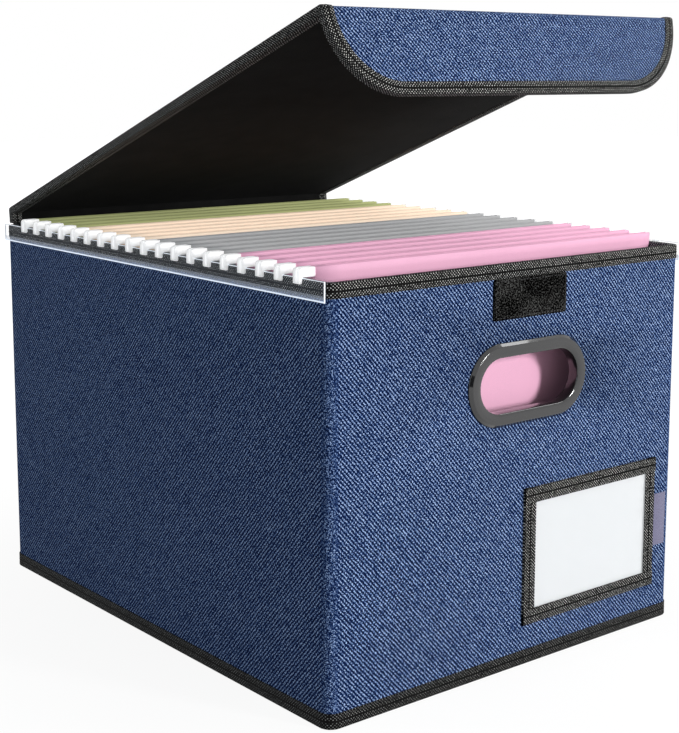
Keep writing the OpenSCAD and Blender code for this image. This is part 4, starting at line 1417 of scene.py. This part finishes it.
def bound_edge_seam(inset, out, start, end):
    """Stitch places round the bound edge of the flat cloth, a distance inside it."""
    face_up = Vector((0, 0, 1 if out > 0 else -1))
    corner_x, corner_y = LID_W / 2 - FLAP_R, FREE_EDGE - FLAP_R
    seam = []
    for side in (-1, 1):
        x = side * (LID_W / 2 - inset)
        seam += straight_seam(Vector((x, start, out)), Vector((x, min(end, corner_y), out)), face_up)
    if end < FREE_EDGE:
        return seam
    along_end = [Vector((x, FREE_EDGE - inset, out)) for x in (-corner_x, corner_x)]
    seam += straight_seam(*along_end, face_up)
    radius = FLAP_R - inset
    first = math.asin(max(0.0, (flap_starts - corner_y) / radius))
    count = int(radius * (math.pi / 2 - first) / STITCH_PITCH)
    for side in (-1, 1):
        for i in range(count):
            angle = first + (math.pi / 2 - first) * (i + 0.5) / count
            x, y = corner_x + radius * math.cos(angle), corner_y + radius * math.sin(angle)
            tangent = Vector((-side * math.sin(angle), math.cos(angle), 0))
            seam.append((Vector((side * x, y, out)), tangent, face_up))
    return seam


def along_and_across(point, normal):
    """The tape's map: along the bound edge, and across from the tape's middle line."""
    inset, along = edge_distance(point.x, point.y)
    across = inset - LID_TAPE / 2
    over_edge = FOLD_R - point.z if abs(normal.z) < 0.5 else 0.0
    return along, across + math.copysign(over_edge, across)


def lid_tape(part):
    """A border of the flat outline, as wide as the tape, folded with the cloth."""
    start, end = PARTS[part]
    spare = 40
    last = end if part == "front" else end + spare
    bm = bmesh.new()
    flat_part(bm, LID_W, start - spare, last, FLAP_R, part)
    outline = bm.faces[:]
    for strip in (0.35, 3.6, 0.4, 3.25, 0.4):
        bmesh.ops.inset_region(bm, faces=outline, thickness=strip, use_even_offset=True, use_boundary=True)
    bmesh.ops.delete(bm, geom=outline, context="FACES")
    cuts = [(start, -1)] if part == "front" else [(start, -1), (end, 1)]
    for row, way in cuts:
        bmesh.ops.bisect_plane(
            bm, geom=everything(bm), plane_co=(0, row, 0), plane_no=(0, way, 0), clear_outer=True
        )
    cut_rows(bm, start, end)
    thicken(bm, -FOLD_R, FOLD_R)
    flat_map(bm, along_and_across)
    for vert in bm.verts:
        inset = edge_distance(vert.co.x, vert.co.y)[0]
        on_rim, on_ridge = inset < 0.1 or inset > LID_TAPE - 0.1, 3.7 < inset < 4.5
        lower = 0.45 if on_rim else 0.0 if on_ridge else 0.2
        vert.co.z -= math.copysign(lower, vert.co.z)
    for out in (2.8, -2.8):
        add_stitches(bm, bound_edge_seam(LID_TAPE - 1.3, out, start + 0.5, end), 2.3)
    fold_up(bm)
    return bend_between(make_piece("lid_tape_" + part, bm, tape, thread, sharp=50), part)


for part, begins in NODE_START.items():
    binding = lid_tape(part)
    if part != "hinge":
        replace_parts(binding, begins + "_binding")
    print(part, "tape:", len(binding.data.polygons), "faces")

# %% [markdown]
# Where the lid's cloth meets the box, a broad tape folds over the rim and runs down the back
# wall. It is a bent section pushed out across the back, with two rows of stitches.

# %% Tape at the back rim
def back_rim_tape():
    """Tape over the back wall's rim and down its outer face."""
    low, high = corners_mm("hinge_tape")
    x0, inner, outer, foot, top = low.x, low.y, high.y, low.z, high.z
    bm = bmesh.new()
    section = [
        (inner, top - 1), (inner, top - 0.3), (inner + 0.4, top), (outer - 0.6, top), (outer, top - 0.6),
        (outer, foot + 0.3), (outer - 0.3, foot), (outer - 1, foot), (outer - 1, top - 1),
    ]
    push_out(bm, [(x0, y, z) for y, z in section], Vector((high.x - x0, 0, 0)))

    def rule(point, normal):
        return point.x, point.z - foot - 4.5 if abs(normal.z) < 0.7 else point.y - inner

    flat_map(bm, rule)
    for z in (foot + 1.3, top - 2.2):
        seam = straight_seam(Vector((x0 + 2, outer, z)), Vector((high.x - 2, outer, z)), Vector((0, 1, 0)))
        add_stitches(bm, seam, 2.3)
    return make_piece("back_rim_tape", bm, tape, thread)


back_tape = belongs(back_rim_tape(), "box", "hinge_tape", slot="black_tape")
print("back rim tape:", len(back_tape.data.polygons), "faces")

# %% [markdown]
# Inside the flap sits the other half of the closure: a patch of small plastic hooks, sewn
# round its edge. The hooks are only a fraction of a millimetre across, so they are a low
# pile here, in the stiffer, shinier finish of the hook side.

# %% Hook patch inside the flap
HOOK_PATCH_T, PATCH_W, PATCH_H = 1.5, 66, 26.5
flap_inward = heading(flap_turn + math.pi / 2)
flap_down = heading(flap_turn)
hook_middle = off_axis(flap_fold, flap_turn, FLAP_L - LID_TAPE - PATCH_H / 2, -LID_HALF)
hook_middle.x = centre_mm("hook_patch").x
hook_turn = Matrix((flap_down.cross(flap_inward), flap_down, flap_inward)).transposed().to_4x4()
hook_at = Matrix.Translation(hook_middle) @ hook_turn
hooks = pile_patch("hook_pile_patch", PATCH_W, PATCH_H, HOOK_PATCH_T, hook_at, hook_pile, 0.12)
belongs(hooks, "flap", "hook_patch", slot="hook_pile")
print("hook patch faces:", len(hooks.data.polygons))

# %% [markdown]
# The boards, the card and the film are flat sheets with nothing to add, so their CAD meshes
# stay, and only their finish changes.

# %% Finishes on the CAD nodes that stay
KEPT = {
    "greyboard": ["floor_board", "floor_insert", *wall_boards, "lid_board", "flap_board"],
    "white_card": ["label_card"],
    "clear_film": ["label_window"],
}
for finish, nodes in KEPT.items():
    for node in nodes:
        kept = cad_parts[node]
        kept.data.materials.clear()
        kept.data.materials.append(bpy.data.materials[finish])
    print(finish, "on", len(nodes), "CAD nodes")

# %% [markdown]
# The last cell updates the view layer and ends the script.

# %% The end
bpy.context.view_layer.update()
